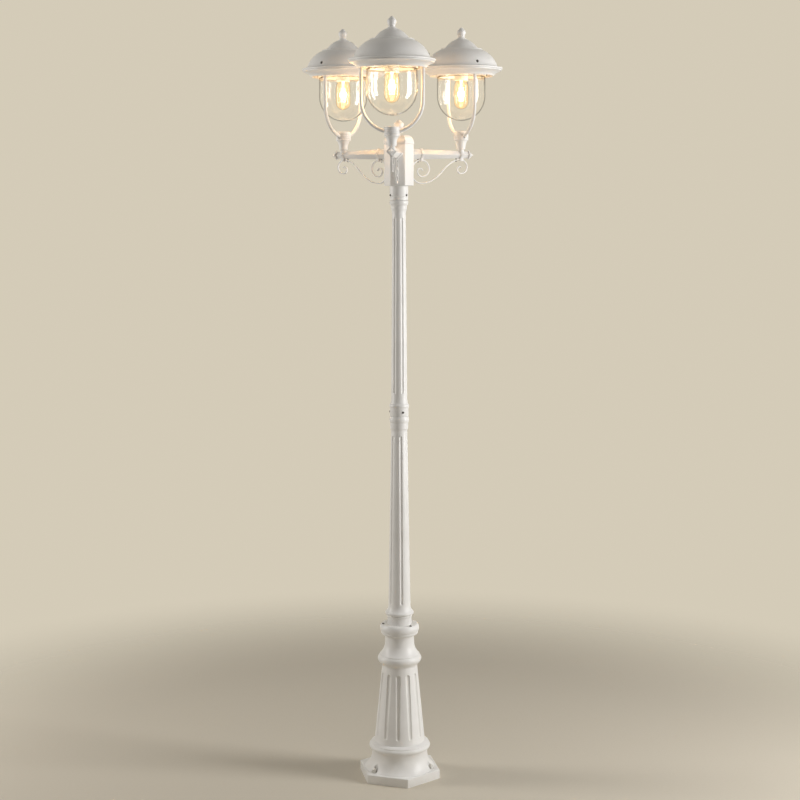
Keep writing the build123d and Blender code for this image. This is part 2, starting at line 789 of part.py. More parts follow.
def lead_path():
    """From the block in the hub, along the arm, up the stem, round the bar and over to the lamp holder."""
    near, reach, bend = terminal_size / 4, lantern_reach, lead_bend
    low_z = hub_z + hub_floor + terminal_height
    cut = 1 - sqrt(0.5)
    # the bend at the stirrup's foot touches the upright run and the bar's curve
    foot_z = stirrup_z - sqrt((stirrup_radius + bend) ** 2 - bend ** 2)
    share = stirrup_radius / (stirrup_radius + bend)
    join = Vector(reach, bend * share, stirrup_z + (foot_z - stirrup_z) * share)
    half_way = Vector(0, join.Y - bend, join.Z - foot_z).normalized() + Vector(0, -1, 0)
    bend_mid = Vector(reach, bend, foot_z) + half_way.normalized() * bend
    along, down = stirrup_radius * sin(radians(60)), stirrup_radius * cos(radians(60))
    curve_mid = Vector(reach, along, stirrup_z - down)
    top_z = lead_top_z - holder_bend
    top_mid = Vector(reach, stirrup_radius - holder_bend * cut, lead_top_z - holder_bend * cut)
    top_end = Vector(reach, stirrup_radius - holder_bend, lead_top_z)
    hub_low, hub_end = Vector(near, 0, arm_z - hub_bend), Vector(near + hub_bend, 0, arm_z)
    hub_mid = Vector(near + hub_bend * cut, 0, arm_z - hub_bend * cut)
    stem_low, stem_end = Vector(reach - bend, 0, arm_z), Vector(reach, 0, arm_z + bend)
    stem_mid = Vector(reach - bend * cut, 0, arm_z + bend * cut)
    return Wire([
        Line((near, 0, low_z), hub_low),
        ThreePointArc(hub_low, hub_mid, hub_end),
        Line(hub_end, stem_low),
        ThreePointArc(stem_low, stem_mid, stem_end),
        Line(stem_end, (reach, 0, foot_z)),
        ThreePointArc((reach, 0, foot_z), bend_mid, join),
        ThreePointArc(join, curve_mid, (reach, stirrup_radius, stirrup_z)),
        Line((reach, stirrup_radius, stirrup_z), (reach, stirrup_radius, top_z)),
        ThreePointArc((reach, stirrup_radius, top_z), top_mid, top_end),
        Line(top_end, (reach, holder_shoulder_radius - 3, lead_top_z)),
    ])


def lead(extra=0.0):
    return swept(lead_path(), lead_radius + extra)


def stirrup():
    """The bent bar, bored for the lead, with open-topped slots in its ears for the roof's screws."""
    shape = bar_solid(0) + ears(0)
    slot_z = rim_z + roof_screw_height
    slot_radius = roof_screw_radius + screw_fit
    open_top = Box(2 * slot_radius, 4 * bar_radius, ear_height,
                   align=(Align.CENTER, Align.CENTER, Align.MIN))
    near, far = stirrup_radius - 2 * bar_radius, stirrup_radius + 2 * bar_radius
    for side in (-1, 1):
        shape -= Pos(lantern_reach, 0, slot_z) * spoke(slot_radius, near, far, 0, 90 * side)
        shape -= Pos(lantern_reach, side * stirrup_radius, slot_z) * open_top
    return shape - lead(screw_fit)


def stem():
    """The yoke round the arm, the neck, the cup and the lower half of the ring that holds the bar."""
    groove_z = stem_ring_z + stem_ring_height / 2
    turning = turned(
        (0, arm_z + 3),
        (stem_saddle_radius, arm_z + 3),
        (stem_saddle_radius, stem_foot_z + 1),
        (stem_neck_radius, stem_foot_z + stem_neck_height * 0.6),
        (cup_low_radius, stem_foot_z + stem_neck_height, 0.6),
        (cup_low_radius, stem_foot_z + stem_neck_height + 1.5),
        (cup_high_radius, stem_ring_z, 1.6),
        (stem_ring_radius, stem_ring_z + 1.5),
        (stem_ring_radius, groove_z - ring_groove),
        (stem_ring_radius - ring_groove, groove_z),
        (stem_ring_radius, groove_z + ring_groove),
        (stem_ring_radius, bar_z),
        (0, bar_z),
    )
    shape = Pos(lantern_reach, 0, 0) * turning - arm_body() + band(lantern_reach, yoke_width)
    return shape - bar_solid(screw_fit / 2) - lead(screw_fit)


def stem_cap():
    """The upper half of the ring, which clamps the bar down."""
    top = bar_z + stem_cap_height
    ring = turned(
        (0, bar_z),
        (stem_ring_radius, bar_z),
        (stem_ring_radius, bar_z + 3),
        (stem_ring_radius - ring_groove, bar_z + 3 + ring_groove),
        (stem_ring_radius, bar_z + 3 + 2 * ring_groove),
        (stem_ring_radius, top - 2),
        (stem_ring_radius - 1.5, top, -0.4),
        (stem_ring_radius - 4, top),
        (stem_ring_radius - 4.6, top - 2.5),
        (0, top - 2.5),
    )
    return Pos(lantern_reach, 0, 0) * ring - bar_solid(screw_fit / 2) - lead(screw_fit)


# ---- gallery, globe and lamp, about a lantern's own axis ----
def gallery():
    shape = turned(
        (fitter_radius - fitter_wall, fitter_z),
        (fitter_radius, fitter_z),
        (fitter_radius, deck_z),
        (gallery_lip_radius - 1.6 * gallery_wall - 1, deck_z),
        (gallery_foot_radius - gallery_wall - 0.4, rim_z - gallery_height),
        (gallery_foot_radius, rim_z - gallery_height),
        (gallery_lip_radius, rim_z - 1.5, 1.2),
        (gallery_lip_radius, rim_z),
        (fitter_radius - fitter_wall, rim_z),
    )
    bridge = Box(bridge_width, 2 * fitter_radius - fitter_wall, gallery_wall,
                 align=(Align.CENTER, Align.CENTER, Align.MIN))
    shape += Pos(0, 0, deck_z) * bridge + bar(bridge_ring_radius, deck_z, rim_z)
    shape -= bar(holder_shoulder_radius + screw_fit, deck_z, rim_z)
    shape -= [Pos(-lantern_reach, 0, 0) * ear for ear in ears(screw_fit)]
    return shape - ringed(3, glass_screw(screw_fit), glass_screw_turn)


def glass_screw(extra=0.0):
    """A thumb screw that reaches in through the fitter's wall to the globe's neck."""
    near = globe_neck_radius + (seat_gap if extra == 0 else 0)
    height = fitter_z + fitter_height * 0.45
    shank = spoke(glass_screw_radius + extra, near, fitter_radius, height, 0)
    if extra:
        return shank
    return shank + spoke(glass_screw_head, fitter_radius, fitter_radius + glass_screw_head_length, height, 0)


def globe():
    inner = globe_radius - globe_wall
    low = globe_z - globe_side
    neck_top = globe_z + globe_neck_height
    quarter = 1 - sqrt(0.5)
    return turned(
        (0, low - globe_radius),
        (globe_radius, low, -globe_radius * quarter),
        (globe_radius, globe_z - 2),
        (globe_neck_radius, globe_z, -0.8),
        (globe_neck_radius, neck_top),
        (globe_neck_radius - globe_wall, neck_top),
        (globe_neck_radius - globe_wall, globe_z - globe_wall + 0.6),
        (inner, globe_z - globe_wall - 2, 0.5),
        (inner, low),
        (0, low - inner, inner * quarter),
    )


def lamp_holder():
    bore = bulb_cap_radius + seat_gap
    shape = turned(
        (bore, holder_z),
        (holder_radius - 1.5, holder_z),
        (holder_radius, holder_z + 1.5),
        (holder_radius, deck_z),
        (holder_shoulder_radius, deck_z),
        (holder_shoulder_radius, rim_z + holder_top - 2),
        (holder_shoulder_radius - 2, rim_z + holder_top),
        (0, rim_z + holder_top),
        (0, bulb_z + bulb_cap_length + seat_gap),
        (bore, bulb_z + bulb_cap_length + seat_gap),
    )
    near, far = holder_shoulder_radius - 3, holder_shoulder_radius + 1
    return shape - spoke(lead_radius + screw_fit, near, far, lead_top_z, 90)


def bulb_base():
    """The screw cap, with a rounded thread and a contact on top."""
    top = bulb_z + bulb_cap_length
    threads = []
    for i in range(2 * thread_count + 1):
        radius = bulb_cap_radius if i % 2 else bulb_cap_radius - thread_depth
        threads.append((radius, bulb_z + 3 + thread_pitch * i / 2))
    return turned(
        (0, bulb_z),
        (bulb_cap_radius, bulb_z),
        *threads,
        (bulb_cap_radius - 2, top - 4),
        (contact_radius + 0.5, top - 2),
        (contact_radius, top),
        (0, top),
    )


def bulb_glass():
    low = bulb_z - bulb_length
    inner = bulb_radius - bulb_wall
    round_z = low + bulb_radius
    quarter = 1 - sqrt(0.5)
    return turned(
        (0, low),
        (bulb_radius, round_z, -bulb_radius * quarter),
        (bulb_radius, bulb_z - 18),
        (bulb_neck_radius, bulb_z, -1.2),
        (bulb_neck_radius - bulb_wall - 1.6, bulb_z),
        (inner, bulb_z - 18, 1.2),
        (inner, round_z),
        (0, low + bulb_wall, inner * quarter),
    )


def filament():
    """A glass stem that carries the glowing sticks between two small discs."""
    disc = filament_circle + filament_radius + 0.5
    high = bulb_z - 20
    low = high - filament_length
    shape = bar(2.5, high, bulb_z) + bar(disc, high - 1, high) + bar(disc, low - 1, low)
    return shape + ringed(filament_count, Pos(filament_circle, 0, 0) * bar(filament_radius, low, high))


# ---- roof, about a lantern's own axis ----
def roof_curve(sink):
    """The roof's outline from its lip to its crown, sunk inwards by a wall."""
    slope = 0.75 * sink
    lip_z = rim_z + roof_lip_height
    dome_z = lip_z + lip_slope
    step_z = dome_z + lower_dome_height
    upper_z = step_z + step_height
    return [
        (lower_dome_radius - 1.2 * sink, dome_z - sink * 0.6),
        (step_radius - slope, step_z - slope, -lower_dome_crown),
        (step_radius - 4 - slope, step_z + 4 - sink),
        (upper_dome_radius - slope, upper_z - sink),
        (roof_crown_radius - slope * 0.4, upper_z + upper_dome_height - sink, -upper_dome_crown),
    ]


def roof():
    outer, inner = roof_curve(0), roof_curve(roof_wall)
    lip_z = rim_z + roof_lip_height
    solid = turned(
        (0, rim_z),
        (roof_lip_radius - 1.5, rim_z),
        (roof_lip_radius - 1, lip_z - 1, -2.2),
        *outer,
        (0, outer[-1][1]),
    )
    hollow = turned((0, rim_z), (inner[0][0], rim_z), *inner, (0, inner[-1][1]))
    shape = solid - hollow - bar(3, roof_top_z - 2 * roof_wall, roof_top_z)
    for side in (-90, 90):
        place = Pos(0, 0, rim_z + roof_screw_height)
        near, far = stirrup_radius, roof_lip_radius
        shape -= place * spoke(roof_screw_radius + screw_fit, near, far, 0, side)
        shape -= place * spoke(roof_screw_head + screw_fit, roof_screw_seat, far, 0, side)
    return shape


def roof_screw():
    height = rim_z + roof_screw_height
    head = spoke(roof_screw_head, roof_screw_seat, roof_screw_seat + roof_screw_head_height, height, 0)
    return head + spoke(roof_screw_radius, stirrup_radius - ear_flat, roof_screw_seat, height, 0)


def roof_finial():
    knob = finial(15, 8.6, roof_finial_radius, roof_finial_height)
    return Pos(0, 0, roof_top_z) * (knob + bar(2.9, -6, 0))


def place(name, shape):
    """One node for each lantern: the shape turned to each arm's angle."""
    for side, angle in arm_angles.items():
        save(f"{side}_{name}", Rot(0, 0, angle) * shape)


def place_group(name, *shapes):
    """One node for all three arms."""
    save(name, *[Rot(0, 0, angle) * shape for angle in arm_angles.values() for shape in shapes])


lantern_axis = Pos(lantern_reach, 0, 0)
glass_screws = lantern_axis * Compound(children=ringed(3, glass_screw(), glass_screw_turn))
roof_screws = lantern_axis * Compound(children=ringed(2, roof_screw(), 90))

place("arm", arm())
place("scroll", scroll())
place("stem", stem())
place("stirrup", stirrup())
place("gallery", lantern_axis * gallery())
place("globe", lantern_axis * globe())
place("lamp_holder", lantern_axis * lamp_holder())
place("bulb_base", lantern_axis * bulb_base())
place("bulb_glass", lantern_axis * bulb_glass())
place("bulb_filament", lantern_axis * filament())
place("roof", lantern_axis * roof())
place("roof_finial", lantern_axis * roof_finial())
place("roof_screws", roof_screws)
place_group("arm_tips", arm_tip())
place_group("arm_nuts", arm_nut())
place_group("scroll_clips", band(clip_out, clip_width))
place_group("scroll_screws", *[scroll_screw(out) for out in scroll_screw_places])
place_group("stem_caps", stem_cap())
place_group("lantern_leads", lead())
place_group("glass_screws", glass_screws)
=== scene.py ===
import json
import math

import bmesh
import bpy
from mathutils import Matrix, Vector

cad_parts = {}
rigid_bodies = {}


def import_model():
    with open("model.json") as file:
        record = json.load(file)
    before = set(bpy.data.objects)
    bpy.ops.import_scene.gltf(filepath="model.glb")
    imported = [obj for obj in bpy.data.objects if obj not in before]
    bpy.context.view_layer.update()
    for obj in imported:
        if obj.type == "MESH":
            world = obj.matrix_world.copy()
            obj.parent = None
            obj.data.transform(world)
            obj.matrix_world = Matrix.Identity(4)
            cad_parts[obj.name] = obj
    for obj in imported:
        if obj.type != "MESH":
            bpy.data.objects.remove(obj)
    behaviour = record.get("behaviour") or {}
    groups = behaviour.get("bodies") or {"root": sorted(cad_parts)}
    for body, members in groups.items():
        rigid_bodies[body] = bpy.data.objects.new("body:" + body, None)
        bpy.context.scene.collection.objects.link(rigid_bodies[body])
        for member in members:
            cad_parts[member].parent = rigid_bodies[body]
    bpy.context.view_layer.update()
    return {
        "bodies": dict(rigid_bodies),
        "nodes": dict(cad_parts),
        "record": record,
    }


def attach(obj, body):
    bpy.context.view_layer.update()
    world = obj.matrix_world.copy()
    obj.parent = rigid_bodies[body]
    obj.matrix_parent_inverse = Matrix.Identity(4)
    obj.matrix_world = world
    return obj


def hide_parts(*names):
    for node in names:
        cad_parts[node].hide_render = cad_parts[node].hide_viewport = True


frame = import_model()
sides = {"front": -90, "right": 30, "left": 150}  # where each arm points, from +X towards +Y
print("frame loaded:", len(frame["nodes"]), "nodes")

# the photograph's camera
cameraSet = {"place": (0.4205, -4.4823, 1.6967), "turn": 5.33, "tilt": -7.176, "roll": -0.077, "lens": 70.14}
camera = bpy.data.objects.new("camera", bpy.data.cameras.new("camera"))
camera.data.lens = cameraSet["lens"]
camera.data.sensor_width = 36
camera.data.clip_end = 60
aim = Matrix.Rotation(math.radians(cameraSet["turn"]), 4, "Z")
aim @= Matrix.Rotation(math.radians(90 + cameraSet["tilt"]), 4, "X")
aim @= Matrix.Rotation(math.radians(cameraSet["roll"]), 4, "Z")
camera.matrix_world = Matrix.Translation(cameraSet["place"]) @ aim
bpy.context.scene.collection.objects.link(camera)
bpy.context.scene.camera = camera
bpy.context.scene.view_settings.view_transform = "Standard"


# small tools for nodes
def addNode(tree, kind, settings=None, **sockets):
    node = tree.nodes.new(kind)
    for key, value in (settings or {}).items():
        setattr(node, key, value)
    for key, value in sockets.items():
        socket = node.inputs[key.replace("_", " ")]
        if isinstance(value, bpy.types.NodeSocket):
            tree.links.new(value, socket)
        else:
            socket.default_value = value
    return node


def blendColours(tree, share, low, high):
    # the low colour where share is 0, the high one where it is 1
    ramp = tree.nodes.new("ShaderNodeValToRGB")
    tree.links.new(share, ramp.inputs["Fac"])
    ramp.color_ramp.elements[0].color = (*low, 1)
    ramp.color_ramp.elements[1].color = (*high, 1)
    return ramp


def mixed(tree, share, low, high):
    # the low shader where share is 0, the high one where it is 1
    mix = addNode(tree, "ShaderNodeMixShader", Fac=share)
    tree.links.new(low.outputs[0], mix.inputs[1])
    tree.links.new(high.outputs[0], mix.inputs[2])
    return mix


def freshMaterial(name):
    material = bpy.data.materials.new(name)
    material.use_nodes = True
    tree = material.node_tree
    tree.nodes.clear()
    place = addNode(tree, "ShaderNodeTexCoord").outputs["Object"]
    return material, tree, place


def shown(tree, shader):
    output = addNode(tree, "ShaderNodeOutputMaterial")
    tree.links.new(shader.outputs[0], output.inputs["Surface"])


def noise(tree, place, scale, detail):
    return addNode(tree, "ShaderNodeTexNoise", Vector=place, Scale=scale, Detail=detail).outputs["Fac"]


# finishes
paintSet = {
    "post": {"base": (0.86, 0.845, 0.82), "shade": (0.79, 0.77, 0.74), "rough": (0.30, 0.42), "peel": 0.4},
    "lantern": {"base": (0.86, 0.845, 0.82), "shade": (0.80, 0.78, 0.75), "rough": (0.32, 0.44), "peel": 0.4},
    "spun": {"base": (0.84, 0.825, 0.80), "shade": (0.78, 0.76, 0.73), "rough": (0.34, 0.46), "peel": 0.24},
}


def paint(name, look):
    # a powder coat: fine orange peel over the casting's slow waves, with dust that dulls it in patches
    material, tree, place = freshMaterial(name)
    patches = addNode(tree, "ShaderNodeTexNoise", Vector=place, Scale=9.0, Detail=6.0, Roughness=0.6)
    colour = blendColours(tree, patches.outputs["Fac"], look["shade"], look["base"])
    colour.color_ramp.elements[0].position = 0.25
    colour.color_ramp.elements[1].position = 0.55
    dust = addNode(tree, "ShaderNodeMapRange", Value=noise(tree, place, 420.0, 2.0), From_Min=0.3,
                   From_Max=0.7, To_Min=look["rough"][0], To_Max=look["rough"][1])
    waves = addNode(tree, "ShaderNodeBump", Height=noise(tree, place, 55.0, 2.0), Strength=0.25,
                    Distance=0.0006)
    peel = addNode(tree, "ShaderNodeBump", Height=noise(tree, place, 950.0, 2.0), Strength=look["peel"],
                   Distance=0.00012, Normal=waves.outputs["Normal"])
    shown(tree, addNode(tree, "ShaderNodeBsdfPrincipled", Base_Color=colour.outputs["Color"],
                        Roughness=dust.outputs["Result"], Normal=peel.outputs["Normal"]))
    return material


def grained(name, base, dark, grain, rough, bump, metallic=0.0):
    # fine marks that darken the surface, change its gloss and roughen it
    material, tree, place = freshMaterial(name)
    marks = noise(tree, place, *grain)
    tint = blendColours(tree, marks, [c * dark for c in base], base)
    wear = addNode(tree, "ShaderNodeMapRange", Value=marks, To_Min=rough[0], To_Max=rough[1])
    relief = addNode(tree, "ShaderNodeBump", Height=marks, Strength=bump, Distance=0.0001)
    shown(tree, addNode(tree, "ShaderNodeBsdfPrincipled", Base_Color=tint.outputs["Color"], Metallic=metallic,
                        Roughness=wear.outputs["Result"], Normal=relief.outputs["Normal"]))
    return material


def metal(name, base, rough, metallic=1.0):
    return grained(name, base, 0.7, (380.0, 4.0), (rough * 0.8, rough * 1.3), 0.2, metallic)


def plastic(name, base, rough):
    return grained(name, base, 0.88, (260.0, 3.0), (rough, rough), 0.15)


def glass(name, tint, look):
    # thin clear glass: it bends light little, mirrors what is around it in a coat, and casts a weak shadow;
    # its faint warm emission is a painted glow, standing in for the bulb's light caught in the glass
    material, tree, place = freshMaterial(name)
    ripple = addNode(tree, "ShaderNodeBump", Height=noise(tree, place, 24.0, 2.0), Strength=0.15,
                     Distance=0.001).outputs["Normal"]
    shader = addNode(tree, "ShaderNodeBsdfPrincipled", Base_Color=(*tint, 1), Roughness=0.0, IOR=look["bend"],
                     Transmission_Weight=1.0, Coat_Weight=look["coat"], Coat_Roughness=0.015, Normal=ripple,
                     Coat_Normal=ripple, Emission_Color=(*look["glow"], 1),
                     Emission_Strength=look["strength"])
    clear = addNode(tree, "ShaderNodeBsdfTransparent", Color=(*tint, 1))
    path = addNode(tree, "ShaderNodeLightPath")
    shown(tree, mixed(tree, path.outputs["Is Shadow Ray"], shader, clear))
    return material


def glowing(name, colour, strength):
    material, tree, place = freshMaterial(name)
    tint = blendColours(tree, noise(tree, place, 300.0, 2.0), [c * 0.9 for c in colour], colour)
    shown(tree, addNode(tree, "ShaderNodeBsdfPrincipled", Base_Color=(0.9, 0.7, 0.3, 1), Roughness=0.5,
                        Emission_Color=tint.outputs["Color"], Emission_Strength=strength))
    return material


finishes = {
    "post_paint": paint("postPaint", paintSet["post"]),
    "lantern_paint": paint("lanternPaint", paintSet["lantern"]),
    "spun_paint": paint("spunPaint", paintSet["spun"]),
    "dark_screw": metal("blackenedSteel", (0.10, 0.09, 0.085), 0.42),
    "bright_fastener": metal("platedSteel", (0.74, 0.73, 0.71), 0.45, 0.7),
    # the globe's and bulb's glass carry a faint painted glow, not a lamp: it stands in for the bulb's light
    # caught in the glass
    "globe_glass": glass("globeGlass", (0.985, 0.985, 0.975),
                         {"bend": 1.12, "coat": 1.0, "glow": (1.0, 0.80, 0.52), "strength": 0.012}),
    "bulb_glass": glass("bulbGlass", (1.0, 0.93, 0.80),
                        {"bend": 1.2, "coat": 0.6, "glow": (1.0, 0.62, 0.22), "strength": 0.09}),
    "filament": glowing("glowingFilament", (1.0, 0.70, 0.34), 7.0),
    "cap_metal": metal("nickelCap", (0.72, 0.69, 0.62), 0.28),
    "holder": plastic("holderMoulding", (0.84, 0.80, 0.72), 0.35),
    "terminal": plastic("terminalNylon", (0.85, 0.85, 0.80), 0.45),
    "cable": plastic("cableSheath", (0.03, 0.03, 0.03), 0.55),
}
slotOf = {part["node"]: part["material_slot"] for part in frame["record"]["subparts"]}
for name, node in frame["nodes"].items():
    node.data.materials.clear()
    node.data.materials.append(finishes[slotOf[name]])
print("finishes made:", len(finishes))


# tools for shapes, in millimetres, with heights above the foot plate's underside
sideways = Matrix.Rotation(math.radians(90), 4, "X")


def arcTo(start, end, bulge):
    # points of an arc after its start; a positive bulge lies to the left of the travel
    chord = Vector(end) - Vector(start)
    length = chord.length
    radius = (length * length / 4 + bulge * bulge) / (2 * abs(bulge))
    half = math.asin(min(1.0, length / 2 / radius))
    count = max(4, math.ceil(2 * half / math.radians(5)))
    aside = Vector((-chord.y, chord.x)).normalized() * math.copysign(1, bulge)
    points = []
    for i in range(1, count + 1):
        turn = -half + 2 * half * i / count
        point = Vector(start) + chord.normalized() * (length / 2 + radius * math.sin(turn))
        points.append(tuple(point + aside * radius * (math.cos(turn) - math.cos(half))))
    return points


def outline(start, *steps):
    points = [start]
    for step in steps:
        points += arcTo(points[-1], step[:2], step[2]) if len(step) == 3 else [step]
    return points


def spun(points, around=96):
    # a closed outline of (radius, height) points turned about the upright axis
    bm = bmesh.new()
    ring = [bm.verts.new((x, 0, z)) for x, z in points]
    for a, b in zip(ring, ring[1:] + ring[:1]):
        if max(a.co.x, b.co.x) > 0.001:
            bm.edges.new((a, b))
    bmesh.ops.spin(bm, geom=bm.verts[:] + bm.edges[:], axis=(0, 0, 1), cent=(0, 0, 0), angle=math.tau,
                   steps=around, use_merge=True)
    bmesh.ops.remove_doubles(bm, verts=bm.verts, dist=0.002)
    bmesh.ops.recalc_face_normals(bm, faces=bm.faces)
    return bm


def stacked(sides, turn, levels):
    # a regular prism that changes width from level to level, as (corner radius, height)
    bm = bmesh.new()
    radius, height = levels[0]
    place = Matrix.Translation((0, 0, height)) @ Matrix.Rotation(math.radians(turn - 90), 4, "Z")
    bmesh.ops.create_circle(bm, cap_ends=True, segments=sides, radius=radius, matrix=place)
    top = bm.faces[:]
    for nextRadius, nextHeight in levels[1:]:
        made = bmesh.ops.extrude_face_region(bm, geom=top)["geom"]
        top = [part for part in made if isinstance(part, bmesh.types.BMFace)]
        corners = [part for part in made if isinstance(part, bmesh.types.BMVert)]
        share = nextRadius / radius
        bmesh.ops.scale(bm, vec=(share, share, 1), verts=corners)
        bmesh.ops.translate(bm, vec=(0, 0, nextHeight - height), verts=corners)
        radius, height = nextRadius, nextHeight
    bmesh.ops.recalc_face_normals(bm, faces=bm.faces)
    return bm


def pin(radius, low, high, around=32):
    return stacked(around, 0, [(radius, low), (radius, high)])


def block(low, high):
    bm = bmesh.new()
    size = Vector(high) - Vector(low)
    place = Matrix.Translation((Vector(low) + Vector(high)) / 2) @ Matrix.Diagonal((*size, 1))
    bmesh.ops.create_cube(bm, size=1, matrix=place)
    return bm


def drawnOut(bm, faces, way):
    # moves the faces out and closes the sides between
    made = bmesh.ops.extrude_face_region(bm, geom=faces)["geom"]
    bmesh.ops.translate(bm, vec=way, verts=[part for part in made if isinstance(part, bmesh.types.BMVert)])
    return [part for part in made if isinstance(part, bmesh.types.BMFace)]


def moved(bm, place):
    bmesh.ops.transform(bm, matrix=place, verts=bm.verts)
    return bm


def shifted(bm, x=0.0, y=0.0, z=0.0):
    return moved(bm, Matrix.Translation((x, y, z)))


def turnedBy(bm, degrees, axis="Z"):
    return moved(bm, Matrix.Rotation(math.radians(degrees), 4, axis))


def outward(bm, height):
    # lays an upright shape down along +X at a height
    return moved(bm, Matrix.Translation((0, 0, height)) @ Matrix.Rotation(math.radians(90), 4, "Y"))


def gathered(*shapes):
    # several shapes in one mesh
    whole = bmesh.new()
    for shape in shapes:
        mesh = bpy.data.meshes.new("part")
        shape.to_mesh(mesh)
        shape.free()
        whole.from_mesh(mesh)
        bpy.data.meshes.remove(mesh)
    return whole


def ringed(count, bm, turn=0.0):
    # copies spread evenly round the upright axis
    copies = [turnedBy(bm.copy(), turn + 360 / count * i) for i in range(count)]
    bm.free()
    return gathered(*copies)


def carved(bm, other, how="DIFFERENCE"):
    # an exact Boolean, worked out at once
    pair = []
    for shape in (bm, other):
        mesh = bpy.data.meshes.new("cut")
        shape.to_mesh(mesh)
        shape.free()
        thing = bpy.data.objects.new("cut", mesh)
        bpy.context.scene.collection.objects.link(thing)
        pair.append(thing)
    cut = pair[0].modifiers.new("cut", "BOOLEAN")
    cut.operation, cut.solver, cut.object = how, "EXACT", pair[1]
    result = bmesh.new()
    result.from_object(pair[0], bpy.context.evaluated_depsgraph_get())
    for thing in pair:
        mesh = thing.data
        bpy.data.objects.remove(thing)
        bpy.data.meshes.remove(mesh)
    bmesh.ops.remove_doubles(result, verts=result.verts, dist=0.001)
    return result


def soften(bm, width, angle=30, segments=2):
    # rounds the edges that turn by more than an angle
    sharp = [edge for edge in bm.edges if len(edge.link_faces) == 2
             and edge.calc_face_angle() > math.radians(angle)]
    bmesh.ops.bevel(bm, geom=sharp, offset=width, offset_type="OFFSET", segments=segments, profile=0.5,
                    affect="EDGES", clamp_overlap=True, material=-1)
    return bm


def piece(name, bm, slot, body, *nodes, crease=28):
    # a finished piece in metres, on its body, in place of the frame's nodes
    mesh = bpy.data.meshes.new(name)
    bmesh.ops.scale(bm, vec=(0.001, 0.001, 0.001), verts=bm.verts)
    bm.to_mesh(mesh)
    bm.free()
    mesh.materials.append(finishes[slot])
    mesh.shade_smooth()
    mesh.set_sharp_from_angle(angle=math.radians(crease))
    thing = bpy.data.objects.new(name, mesh)
    bpy.context.scene.collection.objects.link(thing)
    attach(thing, body)
    if nodes:
        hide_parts(*nodes)
    return thing


def threeTimes(name, bm, slot, bodyOf, node, crease=28):
    # one piece for each arm, from a shape in which the arm points along +X
    for side, angle in sides.items():
        shape, body = turnedBy(bm.copy(), angle), bodyOf.replace("*", side)
        piece(side + name, shape, slot, body, f"{side}_{node}", crease=crease)
    bm.free()


def inThrees(name, bm, slot, node=None, crease=28):
    # one piece for all the arms, on the head
    piece(name, ringed(3, bm, sides["front"]), slot, "head", *([node] if node else []), crease=crease)


# heights and places that several pieces share
heights = {
    "plate": 27.6, "torus": 85.1, "cone": 108.6, "ring": 335.6, "neck": 369.0, "socket": 403.6,
    "collar": 432.0, "shoulder": 463.6, "footBead": 485.0, "lowerShaft": 522.0, "lowerTop": 1030.0,
    "coupling": 1083.0, "upperShaft": 1146.0, "upperTop": 1661.0, "hubSeat": 1706.0, "hub": 1748.0,
    "arm": 1837.5, "hubRim": 1865.5, "bar": 1890.5, "hubTop": 1897.0, "stirrup": 1975.0, "bulb": 2050.2,
    "deck": 2077.5, "rim": 2080.0, "roofTop": 2165.6,
}
lowerTurn = -73.7  # the pedestal's and lower mast's own turn, as an angle from +X
upperTurn = -60  # the upper mast's
lanternReach = 198.6  # from the mast's axis to a lantern's
hubFace = 36.8  # from the mast's axis to the hub's flat sides
clipOut = 71.2  # from the mast's axis to a scroll's clip
seatGap = 0.15  # half the gap where one casting stands on the next
quarter = 1 - math.sqrt(0.5)  # a quarter circle's bulge, as a share of its radius


def groove(radius, low, deep=1.2):
    # a turned V groove above a height, after its first point
    return (radius - deep, low + deep), (radius, low + 2 * deep)


def taper(lowRadius, low, highRadius, high, height):
    return lowRadius + (highRadius - lowRadius) * (height - low) / (high - low)


def flute(radius, depth, lowRadius, low, highRadius, high):
    # a round-ended cutter along a taper on the +X side
    foot = Vector((lowRadius + radius - depth, 0, low + radius))
    run = Vector((highRadius + radius - depth, 0, high - radius)) - foot
    length = run.length
    body = spun(outline((0, -radius), (radius, 0, -radius * quarter), (radius, length),
                        (0, length + radius, -radius * quarter)), 48)
    return moved(body, Matrix.Translation(foot) @ run.to_track_quat("Z", "Y").to_matrix().to_4x4())


anchorSet = {"out": 97.5, "turn": lowerTurn + 60, "hole": 5.0, "stud": 4.0, "washer": 10.0,
             "washerHeight": 1.8, "nut": 13.0, "nutHeight": 7.0, "dome": 5.8}


def makeAnchors():
    a, low = anchorSet, heights["plate"]
    hole, seat, corner = a["stud"] + 0.2, low + a["washerHeight"], a["nut"] / math.sqrt(3)
    top = seat + a["nutHeight"]
    washer = soften(spun([(hole, low), (a["washer"], low), (a["washer"], seat), (hole, seat)], 48), 0.3)
    washers = ringed(3, shifted(washer, a["out"]), a["turn"])
    piece("anchorWashers", washers, "bright_fastener", "base", "anchor_washers")
    # the hexagon's corners are chamfered, and a dome closes it
    trim = spun([(0, seat - 1), (corner * 0.94, seat - 1), (corner * 0.94, seat), (corner + 0.2, seat + 0.9),
                 (corner + 0.2, top - 1), (a["dome"] + 0.4, top + 0.2), (0, top + 0.2)], 48)
    nut = carved(stacked(6, 0, [(corner, seat), (corner, top)]), trim, "INTERSECT")
    dome = spun(outline((0, top - 0.5), (a["dome"], top - 0.5), (a["dome"], top),
                        (0, top + a["dome"], -a["dome"] * quarter)), 48)
    nut = carved(nut, dome, "UNION")
    nut = carved(nut, pin(a["stud"], seat - 1, top + a["dome"] / 2))
    nuts = ringed(3, shifted(nut, a["out"]), a["turn"])
    piece("anchorNuts", nuts, "bright_fastener", "base", "anchor_nuts")


setScrewSet = {"radius": 3.0, "hole": 3.2, "key": 1.5, "keyDepth": 2.5, "proud": 1.6, "footOut": 51.0,
               "slope": 45, "footTurn": lowerTurn + 30, "couplingUp": 13.0, "hubUp": 15.0, "hubTurn": -30}
footScrewPlace = Matrix.Translation((setScrewSet["footOut"], 0, heights["shoulder"] + setScrewSet["proud"]))
footScrewPlace @= Matrix.Rotation(math.radians(setScrewSet["slope"]), 4, "Y")


